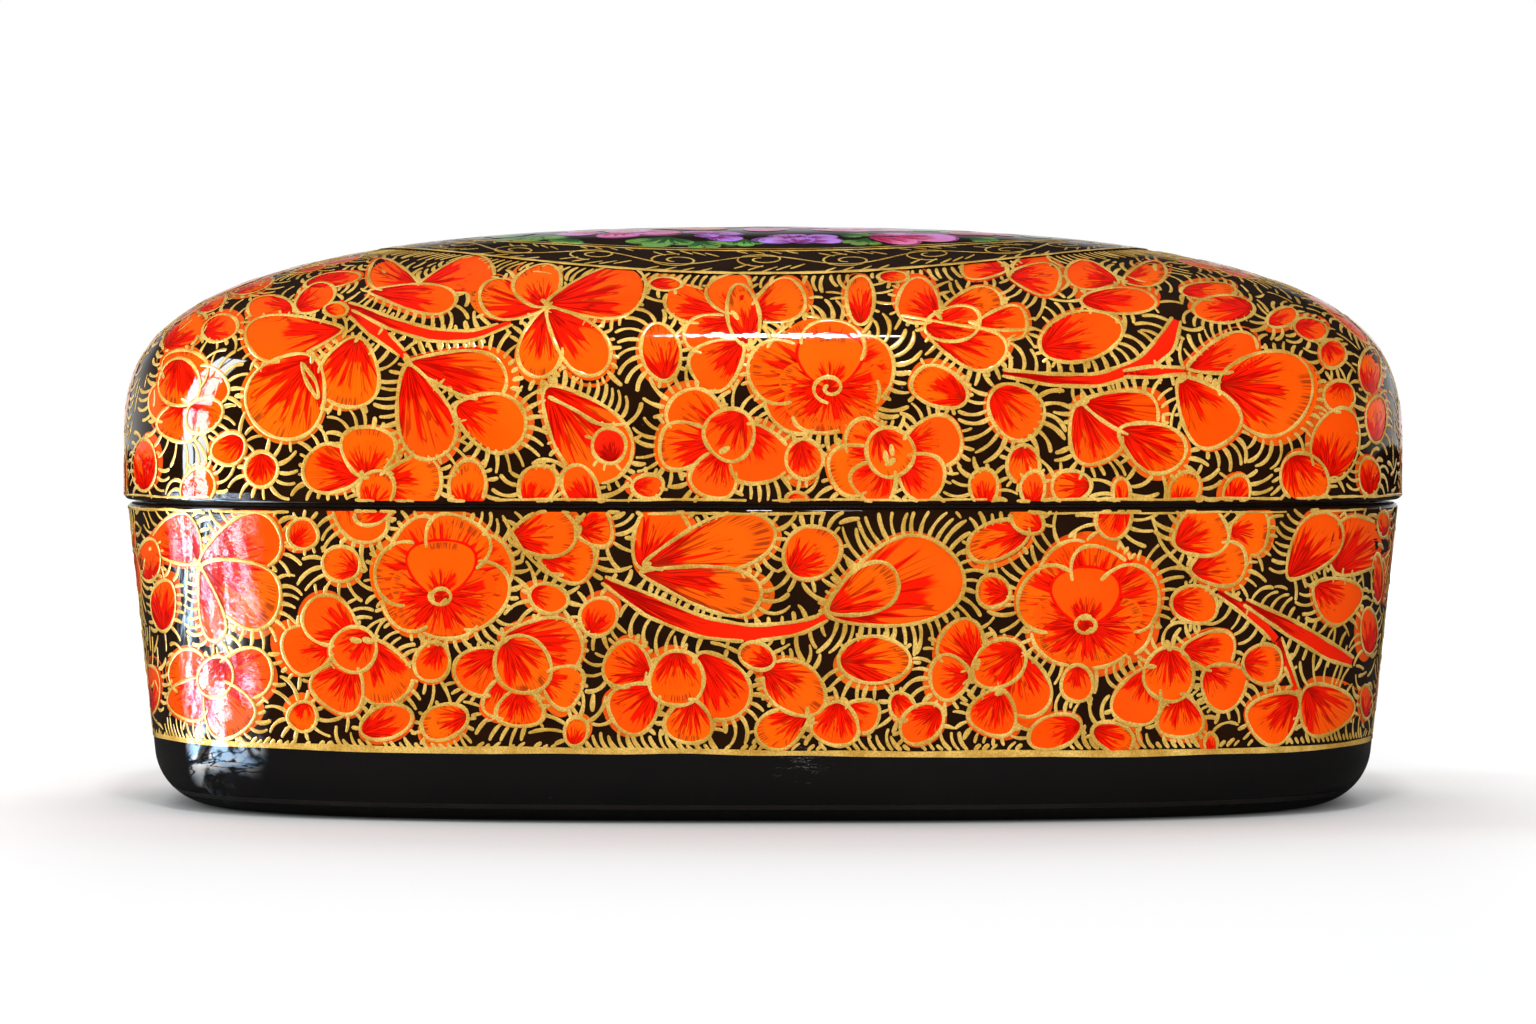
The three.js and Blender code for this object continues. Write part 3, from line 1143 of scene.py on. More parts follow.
BASE_BUDS = [
    (304, 533, 16, 16, 45), (341, 564, 19, 18, 160), (432, 665, 21, 18, 250),
    (301, 715, 16, 15, 250), (547, 599, 20, 15, 340), (600, 615, 20, 19, 60),
    (812, 552, 30, 27, 40), (757, 658, 19, 14, 160), (875, 662, 36, 25, 0),
    (575, 732, 15, 12, 80), (992, 591, 17, 16, 170), (1192, 606, 23, 19, 350),
    (1078, 684, 19, 16, 270), (1262, 663, 21, 20, 0), (1113, 519, 22, 18, 240),
    (1210, 741, 10, 7, 90), (150, 690, 26, 13, 90), (1384, 522, 14, 6, 90),
    (1379, 581, 24, 6, 90), (1368, 632, 24, 9, 90), (1365, 702, 17, 6, 90),
]
BASE_STEMS = [
    [
        ((604, 580), 4), ((650, 606), 18), ((700, 627), 17), ((750, 634), 13), ((801, 628), 9),
        ((826, 617), 4),
    ],
    [((1218, 592), 3), ((1250, 612), 9), ((1276, 640), 5)],
    [((1245, 602), 3), ((1290, 628), 13), ((1330, 652), 14), ((1352, 662), 6)],
    [((1278, 640), 6), ((1296, 690), 4)],
]


def paint_front(shell, stems, rosettes, flowers, buds):
    """Paints the motifs that the photo shows, each where it shows them."""
    surface = shell.surface

    def walk(flat):
        return surface.trim(seen_at(surface, flat * [1, -1]))

    for path in stems:
        paint_stem(shell, path)
    curl = surface is lid_outside
    for middle, half, ring in rosettes:
        motif = rosette(lay(middle)[0], np.array(half), lay(ring)[0], PIXELS, curl)
        shell.place(motif, walk)
    for flower in flowers + [Flower(ovals=(bud,)) for bud in buds]:
        shell.place(painted(flower, PIXELS), walk)


def smooth(p, rounds=4):
    for _ in range(rounds):
        p = np.vstack([p[:1], (p[:-2] + 2 * p[1:-1] + p[2:]) / 4, p[-1:]])
    return p


def path_length(p):
    """How far along the path each of its points is."""
    return np.concatenate([[0], np.cumsum(np.linalg.norm(np.diff(p, axis=0), axis=1))])


def along_path(p, places):
    ticks = path_length(p)
    return np.column_stack([np.interp(places, ticks, p[:, i]) for i in range(p.shape[1])])


STEM_STEP = 0.7
STEM_COLUMNS = 5


def paint_stem(shell, path):
    """A tapering red leaf between two gold lines, along points that the photo shows."""
    surface = shell.surface
    shell.number += 1
    p = seen_at(surface, np.array([place for place, _ in path], float))
    half = np.array([width for _, width in path]) / 2 / PIXELS
    ticks = path_length(p)
    fine = np.linspace(0, ticks[-1], max(6, int(ticks[-1] / STEM_STEP)))
    p = surface.project(smooth(along_path(p, fine)))
    half = np.interp(fine, ticks, half)[:, None] + 0.2
    side = unit(np.cross(surface.normal(p), unit(np.gradient(p, axis=0))))
    offsets = np.linspace(1, -1, STEM_COLUMNS)
    rows = np.stack([surface.project(p + side * half * k) for k in offsets], 1)
    points = rows.reshape(-1, 3)
    normals = surface.normal(points)
    stroke = np.column_stack([
        np.tile(offsets, len(p)) * 0.4,
        np.repeat(fine / ticks[-1] * 2.2, len(offsets)),
        np.full(len(points), 5.5),
    ])
    values = {"stroke": stroke, "ground": SCARLET.ground, "bloom": SCARLET.bloom}
    shell.flowers.add(points + normals * COAT, grid_faces(len(p), len(offsets)), normals, **values)
    left, right = rows[:, 0], rows[:, -1]
    look = (OUTLINE_WIDTH, OUTLINE_LOW, OUTLINE_CREST)
    for edge, way in ((left, side), (right, -side)):
        shell.strokes.append((shell.gold, edge, *look, shell.number, {}))
        shell.seeds.append((edge[1::2], way[1::2], shell.number))
    shell.mark(points, 0.4, -shell.number)
    shell.add_rooms(p, half[:, 0], 1)


# The sides and the back, filled with the same motifs as close as they fit

# Least and greatest radius, least gap to the neighbours (below 0 where they may overlap), and kind
REST_SIZES = [
    (8.2, 8.8, 0.3, "rosette"),
    (7.4, 8.4, -0.7, "flower"),
    (5.8, 6.8, -0.7, "flower"),
    (4.6, 5.4, -0.5, "flower"),
    (2.9, 3.4, 0.4, "bud"),
    (2.1, 2.5, 0.4, "bud"),
    (1.5, 1.8, 0.4, "bud"),
]
WHOLE_FLOWERS = BASE_FLOWERS[:14] + LID_FLOWERS[:4] + LID_FLOWERS[7:12]


def plan_walk(halves, z, step):
    """Places along the plan's outline, a step apart."""
    ring = plan_ring(halves, z)
    closed = np.vstack([ring, ring[:1]])
    return along_path(closed, np.arange(0, path_length(closed)[-1], step))


def scatter(surface, count):
    """Places spread evenly over the painted part of a surface."""
    outline = plan_walk(HALF, 0, 0.2)[:, :2]
    way = outline[draw.integers(0, len(outline), count)]
    if surface is base_outside:
        z = draw.uniform(surface.low, surface.high, count)
        return surface.project(np.column_stack([way * 0.98, z]), 6)
    share = np.sqrt(draw.uniform(0, 1.35, count))
    wall = share > 1
    p = over_plan(way * np.minimum(share, 0.999)[:, None])
    p[wall, 2] = draw.uniform(surface.low, DOME_FOOT + 10, wall.sum())
    p = surface.project(p, 6)
    return p[surface.free(p)]


def oval_ring(halves, step):
    """Evenly spaced places of the plan along an oval on the crown."""
    angle = np.linspace(0, TAU, 2881)
    flat = np.column_stack([np.cos(angle), np.sin(angle)])
    flat /= ((np.abs(flat) / halves) ** PANEL_POWER).sum(1)[:, None] ** (1 / PANEL_POWER)
    length = path_length(flat)[-1]
    return along_path(flat, np.linspace(0, length, max(12, round(length / step))))


def border_distance(surface, p):
    """How far each place is from the border that no flower may cross."""
    if surface is base_outside:
        return (p[:, 2] - BAND_HIGH) / math.cos(LEAN) - 0.3
    edge = over_plan(oval_ring(PANEL_OUTER, 0.5))
    return np.array([np.linalg.norm(edge - place, axis=1).min() for place in p]) - 0.5


def rim_distance(surface, p):
    rim = surface.high if surface is base_outside else surface.low
    return np.abs(p[:, 2] - rim)


def fitted(flower, radius, turn, **settings):
    """A flower of the front again, turned and made to fit a round room about 0, in millimetres."""
    tips = []
    for x0, y0, x1, y1, width in flower.petals:
        x, y = (x0 + 2 * x1) / 3, (y0 + 2 * y1) / 3
        tips += [(x + side * width / 2, y + side * width / 2) for side in (-1, 1)]
        tips.append((x1, y1))
    for x, y, long, wide, _ in flower.ovals:
        tips += [(x - wide, y - long), (x + wide, y + long)]
    tips = np.array(tips, float)
    middle = (tips.min(0) + tips.max(0)) / 2
    scale = radius / np.linalg.norm(tips - middle, axis=1).max()
    mirror = draw.choice([-1, 1])
    return painted(flower, 1.0, middle=middle, scale=scale, turn=turn, mirror=mirror, **settings)


def random_flower():
    return WHOLE_FLOWERS[draw.integers(len(WHOLE_FLOWERS))]


def rest_motif(kind, radius):
    turn = draw.uniform(0, TAU)
    if kind == "rosette" and draw.random() < 0.3:
        half = np.array([radius, radius * 0.88])
        curl = draw.random() < 0.4
        return rosette(np.zeros(2), half, polar(turn, 0.12 * radius), 1.0, curl, turn)
    if kind == "bud":
        shape = (0, 0, radius, radius * draw.uniform(0.8, 0.95), 0)
        return painted(Flower(ovals=(shape,)), 1.0, turn=turn)
    return fitted(random_flower(), radius, turn)


SEEN = 0.10  # least slant, as a cosine, at which the front view still reaches a place


def pack_rest(shell, count):
    """Places flowers, then buds, wherever the front view doesn't reach, largest first."""
    surface = shell.surface
    p = scatter(surface, count)
    p = p[(surface.normal(p) * unit(CAMERA_AT - p)).sum(1) < SEEN]
    border, rim = border_distance(surface, p), rim_distance(surface, p)
    clearance = np.full(len(p), np.inf)
    for x, y, z, radius, _ in shell.rooms:
        clearance = np.minimum(clearance, np.linalg.norm(p - (x, y, z), axis=1) - radius)
    for low, high, gap, kind in REST_SIZES:
        while True:
            radius = draw.uniform(low, high)
            fits = (clearance > radius + gap) & (border > radius) & (rim > radius * 0.5)
            if not fits.any():
                break
            slack = clearance + draw.uniform(0, 0.8, len(p))
            at = p[int(np.argmin(np.where(fits, slack, np.inf)))]
            right, up = (way[0] for way in tangents(surface, at[None]))
            shell.place(rest_motif(kind, radius), partial(spread, surface, at, right, up))
            clearance = np.minimum(clearance, np.linalg.norm(p - at, axis=1) - radius)


# Gold lines along the borders

FOOT_LINE_TILT = 0.3
FOOT_LINE_SECTION = ((1, 0.01), (0.6, 0.07), (0, 0.08), (-0.6, 0.07), (-1, 0.01))  # share, height


def foot_line(shell):
    """The broad gold line round the foot, a little uneven like one drawn by hand."""
    middle = (BAND_LOW + BAND_HIGH) / 2
    p = plan_walk(np.array(shell.surface.halves(middle)), middle, 0.6)
    p = np.vstack([p, p[:2]])
    angle = np.arctan2(p[:, 1], p[:, 0])
    drift = 0.08 * np.sin(3 * angle + 1) + 0.05 * np.sin(7 * angle + 2)
    drift += 0.04 * np.sin(17 * angle)
    drift -= FOOT_LINE_TILT * np.cos(angle)
    half = (BAND_HIGH - BAND_LOW) / 2
    half = half * (1 + 0.16 * np.sin(5 * angle) + 0.1 * np.sin(23 * angle + 1))
    out = shell.surface.normal(p)
    rows = []
    for share, height in FOOT_LINE_SECTION:
        row = p + np.outer(drift + half * share, (0, 0, 1))
        rows.append(shell.surface.project(row) + out * height)
    points = np.stack(rows, 1).reshape(-1, 3)
    shell.gold.add(points, grid_faces(len(p), len(rows)), np.repeat(out, len(rows), 0))


RIM_STRETCH, RIM_PAUSE = (12, 60), (0, 12)  # steps of a stretch, and between two of them
RIM_STEP, RIM_SHARE = 0.6, 0.6
RIM_WIDTH = (0.22, 0.36)


def broken_line(shell, z, inward):
    """A thin gold line along a rim, put down in stretches."""
    ring = plan_walk(np.array(shell.surface.halves(z)), z, RIM_STEP)
    place = 0
    while place < len(ring) - 20:
        length = int(draw.integers(*RIM_STRETCH))
        stretch = ring[place:place + length].copy()
        drift = 0.12 * np.abs(np.sin(np.arange(len(stretch)) * 0.13 + draw.uniform(0, TAU)))
        stretch[:, 2] += drift * inward
        if draw.random() < RIM_SHARE:
            shell.brush(shell.gold, stretch, draw.uniform(*RIM_WIDTH), OUTLINE_LOW, OUTLINE_CREST)
        place += length + int(draw.integers(*RIM_PAUSE))


def base_borders(shell):
    surface = shell.surface
    foot_line(shell)
    foot = plan_walk(np.array(surface.halves(BAND_HIGH)), BAND_HIGH, HATCH_GAP)
    lean = 0.8 * np.sign(np.sin(np.arange(len(foot)) * 0.21) + 0.3)
    shell.seeds.append((foot, turned(tangents(surface, foot)[1], surface.normal(foot), lean), 0))
    broken_line(shell, surface.high - 0.1, -1)


def lid_borders(shell):
    surface = shell.surface
    broken_line(shell, surface.low + 0.1, 1)
    edge = oval_ring(PANEL_OUTER * 1.01, HATCH_GAP)
    shell.seeds.append((over_plan(edge), unit(over_plan(edge * 1.02) - over_plan(edge)), 0))


# The black oval on the crown, with its scroll border and its flowers

PINK = Paint((0.86, 0.27, 0.40), (0.50, 0.06, 0.16), (0.66, 0.04, 0.16))
ROSE = Paint((0.78, 0.08, 0.13), (0.36, 0.02, 0.06), (0.48, 0.01, 0.04))
LILAC = Paint((0.58, 0.26, 0.56), (0.26, 0.08, 0.26), (0.32, 0.05, 0.28))
BLUSH = Paint((0.90, 0.66, 0.62), (0.56, 0.22, 0.26), (0.78, 0.16, 0.24))
YELLOW = Paint((0.92, 0.56, 0.08), (0.45, 0.20, 0.02), (0.78, 0.20, 0.01))
LEAF = Paint((0.17, 0.33, 0.05), (0.04, 0.12, 0.02), (0.03, 0.13, 0.03))
PALE = (0.88, 0.72, 0.55)
PALE_GREEN = (0.45, 0.55, 0.12)
PANEL_LOW, PANEL_CREST = PANEL_COAT + 0.03, PANEL_COAT + 0.05
PANEL_RINGS = ((PANEL_OUTER * 0.996, 0.62), (PANEL_INNER, 0.5), (PANEL_INNER * 0.975, 0.22))

LEAVES = Flower(
    petals=((0, 6, -9, -4, 7), (0, 6, 9, -4, 7), (0, 8, 0, -9, 8)),
    lines=(((0, 5), (0, 0), (0, -6)), ((-1, 5), (-4, 2), (-7, -2)), ((1, 5), (4, 2), (7, -2))),
    paint=LEAF,
)

# Radius, how many at most, kind and paints
BOUQUET_SIZES = [
    (8.4, 1, "rosette", (PINK,)),
    (8.0, 9, "flower", (ROSE, BLUSH, PINK, ORANGE, PINK, YELLOW)),
    (5.8, 16, "flower", (PINK, LILAC, ROSE, ORANGE, BLUSH)),
    (3.8, 24, "leaf", (LEAF,)),
    (2.8, 50, "bud", (ROSE, PINK, ORANGE, YELLOW, PINK)),
    (2.2, 120, "leaf", (LEAF,)),
]
SCROLL_TURNS = 26
BOUQUET_CORE = 0.85  # the share of a motif's radius that no other may enter


def panel(shell, lacquer, flower_paint, gold_paint):
    panel_ground(shell.surface).piece("panel_ground", "lid", "painted_lid", lacquer)
    gold, flowers = Sheet(), Sheet()
    for halves, width in PANEL_RINGS:
        ring = oval_ring(halves, 0.5)
        shell.brush(gold, over_plan(np.vstack([ring, ring[1:3]])), width, PANEL_LOW, PANEL_CREST)
    scrolls(shell, gold)
    bouquet(shell, flowers, gold)
    flowers.piece("panel_flowers", "lid", "painted_lid", flower_paint)
    gold.piece("panel_gold", "lid", "painted_lid", gold_paint)


def panel_ground(surface):
    sheet = Sheet()
    ring = oval_ring(PANEL_OUTER, 0.8)[:-1][::-1]
    rings, normals = [], []
    for share in [1.003, *np.linspace(1, 0.02, 46)]:
        p = over_plan(ring * share)
        out = surface.normal(p)
        rings.append(p + out * (PANEL_COAT if share <= 1 else -0.02))
        normals.append(out)
    count = len(ring)
    hub = len(rings) * count
    faces = grid_faces(len(rings), count, True)[:, ::-1]
    faces = np.concatenate([faces, fan(hub - count, count, hub, True)])
    points = np.vstack([*rings, rings[-1].mean(0)])
    sheet.add(points, faces, np.vstack([*normals, (0, 0, 1)]))
    return sheet


def band_point(along, across):
    """A place in the scroll border. Along runs from 0 to 1 round it, across from -1 inside to 1."""
    ring = oval_ring((PANEL_OUTER + PANEL_INNER) / 2, 0.25)
    last = len(ring) - 1
    place = np.mod(along, 1) * last
    column = np.arange(len(ring))

    def at(place):
        place = np.mod(place, last)
        return np.column_stack([np.interp(place, column, ring[:, i]) for i in range(2)])

    flat = at(place)
    way = unit(at(place + 2) - flat)
    half = (PANEL_OUTER - PANEL_INNER).mean() / 2
    return flat + np.column_stack([way[:, 1], -way[:, 0]]) * (np.asarray(across) * half)[:, None]


def scrolls(shell, gold):
    """A running stem that turns back on itself, with leaf strokes off every curl."""
    turns = SCROLL_TURNS

    def stroke(along, across, width):
        shell.brush(gold, over_plan(band_point(along, across)), width, PANEL_LOW, PANEL_CREST)

    def leaf(start, length, first, last, width):
        stroke(start + np.linspace(0, length / turns, 5), np.linspace(first, last, 5), width)

    t = np.linspace(0, 1, turns * 24 + 1)
    stroke(t, 0.42 * np.sin(t * turns * TAU / 2), 0.26)
    for i in range(turns):
        side = 1 if i % 2 else -1
        centre = (i + 0.5) / turns
        s = np.linspace(0, 1, 26)
        angle = side * (math.pi / 2 + s * 1.45 * TAU)
        reach = 0.62 * (1 - 0.78 * s)
        along = centre + np.cos(angle) * reach * 0.55 / turns
        stroke(along, -0.1 * side + np.sin(angle) * reach, 0.24)
        for k in range(-2, 3):
            first = side * (0.86 - 0.1 * abs(k))
            leaf(centre + k * 0.16 / turns, 0.16, first, first - side * 0.32, 0.3)
        for k in range(-2, 2):
            leaf(centre + (k + 0.5) * 0.2 / turns, 0.12, -side * 0.9, -side * 0.68, 0.28)


def bouquet(shell, flowers, gold):
    """A bunch of many colours: one large flower, smaller ones about it, leaves and buds between."""
    places = draw.uniform(-1, 1, (BOUQUET_PLACES, 2)) * PANEL_INNER
    edge = oval_ring(PANEL_INNER, 0.5)
    border = np.array([np.linalg.norm(edge - place, axis=1).min() for place in places])
    border[panel_share(places, PANEL_INNER) > 1] = -1
    from_middle = np.linalg.norm(places, axis=1)
    clearance = np.full(len(places), 99.0)
    for radius, most, kind, paints in BOUQUET_SIZES:
        for number in range(most):
            size = radius * draw.uniform(0.9, 1.1)
            fits = (clearance > BOUQUET_CORE * size) & (border > 0.9 * size)
            if not fits.any():
                break
            slack = clearance + draw.uniform(0, 0.6, len(places)) + from_middle * 0.05
            place = places[int(np.argmin(np.where(fits, slack, np.inf)))]
            at = over_plan(place[None])
            right, up = tangents(shell.surface, at, (0, 1, 0))
            motif = panel_motif(kind, size, paints[number % len(paints)], heading_of(place))
            walk = partial(spread, shell.surface, at[0], right[0], up[0])
            shell.place(motif, walk, flowers, gold, PANEL_COAT - 0.01)
            reach = np.linalg.norm(places - place, axis=1) - BOUQUET_CORE * size
            clearance = np.minimum(clearance, reach)


def panel_motif(kind, radius, paint, away):
    """One of the bunch, about 0 and in millimetres. Leaves and buds point away from its middle."""
    style = {"line_width": 0.22, "line_colour": PALE_GREEN if kind == "leaf" else PALE}
    if kind == "rosette":
        half = np.array([radius, radius])
        return rosette(np.zeros(2), half, np.zeros(2), 1.0, False, away, paint, **style)
    if kind == "flower":
        return fitted(random_flower(), radius, draw.uniform(0, TAU), paint=paint, **style)
    if kind == "leaf":
        turn = away - TAU / 4 + draw.uniform(-0.9, 0.9)
        return painted(LEAVES, 1.0, scale=radius / 9, turn=turn, **style)
    bud = Flower(ovals=((0, 0, radius, radius * 0.85, 0),))
    return painted(bud, 1.0, paint, turn=away, **style)


# Materials

class Nodes:
    """Builds the nodes of a material or a world in few words."""

    def __init__(self, tree):
        self.tree = tree

    def feed(self, node, socket, value):
        if isinstance(value, bpy.types.NodeSocket):
            self.tree.links.new(value, node.inputs[socket])
        elif isinstance(value, tuple) and len(value) == 3 and node.inputs[socket].type == "RGBA":
            node.inputs[socket].default_value = (*value, 1)
        else:
            node.inputs[socket].default_value = value

    def add(self, kind, sockets, output=0, **settings):
        node = self.tree.nodes.new("ShaderNode" + kind)
        for key, value in settings.items():
            setattr(node, key, value)
        for socket, value in sockets.items():
            self.feed(node, socket, value)
        return node.outputs[output] if len(node.outputs) else node

    def maths(self, operation, *values):
        return self.add("Math", dict(enumerate(values)), operation=operation)

    def times(self, a, b):
        return self.maths("MULTIPLY", a, b)

    def vector(self, operation, *values, output=0):
        return self.add("VectorMath", dict(enumerate(values)), output, operation=operation)

    def mix(self, share, a, b, blend="MIX"):
        return self.add("Mix", {0: share, 6: a, 7: b}, 2, data_type="RGBA", blend_type=blend)

    def ramp(self, value, low, high, to_low=0.0, to_high=1.0):
        sockets = {0: value, 1: low, 2: high, 3: to_low, 4: to_high}
        return self.add("MapRange", sockets, interpolation_type="SMOOTHSTEP")

    def noise(self, vector, scale, detail=2.0, roughness=0.5):
        sockets = {"Vector": vector, "Scale": scale, "Detail": detail, "Roughness": roughness}
        return self.add("TexNoise", sockets)

    def off_middle(self, noise):
        """How far a noise is from its middle: near 0 along winding lines."""
        return self.maths("ABSOLUTE", self.maths("SUBTRACT", noise, 0.5))

    def attribute(self, name):
        return self.add("Attribute", {}, "Vector", attribute_name=name)

    def place(self):
        return self.add("TexCoord", {}, "Object")

    def split(self, vector):
        node = self.add("SeparateXYZ", {0: vector}).node
        return node.outputs[0], node.outputs[1], node.outputs[2]

    def bump(self, height, distance, strength=1.0, normal=None):
        sockets = {"Height": height, "Distance": distance, "Strength": strength}
        if normal is not None:
            sockets["Normal"] = normal
        return self.add("Bump", sockets)


class Finish(Nodes):
    """A material with one main shader, whose even values are set on its own sockets."""

    def __init__(self, name, **values):
        self.material = bpy.data.materials.new(name)
        self.material.use_nodes = True
        super().__init__(self.material.node_tree)
        self.shader = self.tree.nodes["Principled BSDF"]
        for socket, value in values.items():
            self.feed(self.shader, socket.replace("_", " "), value)

    def set(self, socket, value):
        self.feed(self.shader, socket, value)

    def lacquer(self, paint_relief=None):
        """The clear coat: smooth, with the long waves of a hand-rubbed varnish."""
        place, coat = self.place(), None
        count = 2 if paint_relief is None else 3
        for scale, detail, distance, strength in COAT_WAVES[:count]:
            coat = self.bump(self.noise(place, scale, detail), distance, strength, coat)
        self.set("Coat Normal", coat)
        self.set("Normal", coat if paint_relief is None else paint_relief)


BARE_BLACK = ((0.0035, 0.0034, 0.0036), (0.0075, 0.0068, 0.0062))  # of the band round the foot
WARM_BLACK = ((0.006, 0.0025, 0.0012), (0.018, 0.006, 0.002))  # between the flowers
LIGHT_GOLD, DARK_GOLD = (0.90, 0.60, 0.16), (0.60, 0.34, 0.055)
COAT_WAVES = (  # scale and detail, then height in metres and strength; the last over paint alone
    (70, 1.0, 0.00035, 0.35),
    (420, 1.0, 0.00003, 0.35),
    (1100, 2.0, 0.00003, 0.5),
)
LACQUER = {"Coat_Weight": 1.0, "Coat_Roughness": 0.035, "Coat_IOR": 1.42, "Specular_IOR_Level": 0.0}


def black_lacquer():
    """The black ground: nearly even, with specks of dust and a few scratches low down."""
    nodes = Finish("black_lacquer", Roughness=0.45, **LACQUER)
    place = nodes.place()
    height = nodes.split(place)[2]
    bare = nodes.mix(nodes.noise(place, 60, 3.0), *BARE_BLACK)
    warm = nodes.mix(nodes.noise(place, 300, 2.0), *WARM_BLACK)
    black = nodes.mix(nodes.ramp(height, BAND_LOW * MM, BAND_HIGH * MM), bare, warm)
    specks = nodes.add("TexVoronoi", {"Vector": place, "Scale": 420.0}, "Distance")
    dusty = nodes.ramp(nodes.noise(place, 130, 0.0), 0.66, 0.7)
    dust = nodes.times(nodes.ramp(specks, 0.07, 0.03), dusty)
    field = nodes.noise(nodes.vector("MULTIPLY", place, (90, 90, 500)), 1.0, 5.0, 0.7)
    line = nodes.ramp(nodes.off_middle(field), 0.006, 0.0015)
    worn = nodes.ramp(nodes.noise(place, 38, 1.0), 0.63, 0.7)
    worn = nodes.times(worn, nodes.ramp(height, 0.012, 0.008))
    scratches = nodes.times(nodes.times(line, worn), 0.6)
    marks = nodes.maths("MAXIMUM", nodes.times(dust, 0.35), scratches)
    nodes.set("Base Color", nodes.mix(marks, black, (0.16, 0.15, 0.14)))
    nodes.lacquer()
    return nodes.material


def inner_black():
    """Black brushed on the inside: satin, with the brush's streaks and the pulp's unevenness."""
    nodes = Finish("inner_black", Specular_IOR_Level=0.45)
    place = nodes.place()
    streaks = nodes.noise(nodes.vector("MULTIPLY", place, (90, 700, 900)), 1.0, 3.0)
    lumps = nodes.noise(place, 140, 3.0)
    nodes.set("Base Color", nodes.mix(streaks, (0.006, 0.0055, 0.005), (0.022, 0.019, 0.017)))
    nodes.set("Roughness", nodes.ramp(lumps, 0.2, 0.8, 0.28, 0.5))
    nodes.set("Normal", nodes.bump(streaks, 0.00005, 0.6, nodes.bump(lumps, 0.0003, 0.5)))
    return nodes.material


def black_card():
    """The lip's card under thin black paint, with fibres and rubbed top edges."""
    nodes = Finish("black_card", Specular_IOR_Level=0.4)
    place = nodes.place()
    height = nodes.split(place)[2]
    fibres = nodes.noise(nodes.vector("MULTIPLY", place, (1, 1, 3)), 1500, 4.0)
    cloud = nodes.noise(place, 160, 3.0)
    black = nodes.mix(fibres, (0.008, 0.007, 0.006), (0.035, 0.031, 0.027))
    top = nodes.ramp(height, (LIP_HIGH[2] - 0.5) * MM, LIP_HIGH[2] * MM)
    worn = nodes.times(top, nodes.ramp(cloud, 0.45, 0.75))
    nodes.set("Base Color", nodes.mix(worn, black, (0.10, 0.075, 0.055)))
    nodes.set("Roughness", nodes.ramp(cloud, 0.2, 0.8, 0.36, 0.6))
    nodes.set("Normal", nodes.bump(fibres, 0.00008, 0.7, nodes.bump(cloud, 0.0002, 0.5)))
    return nodes.material


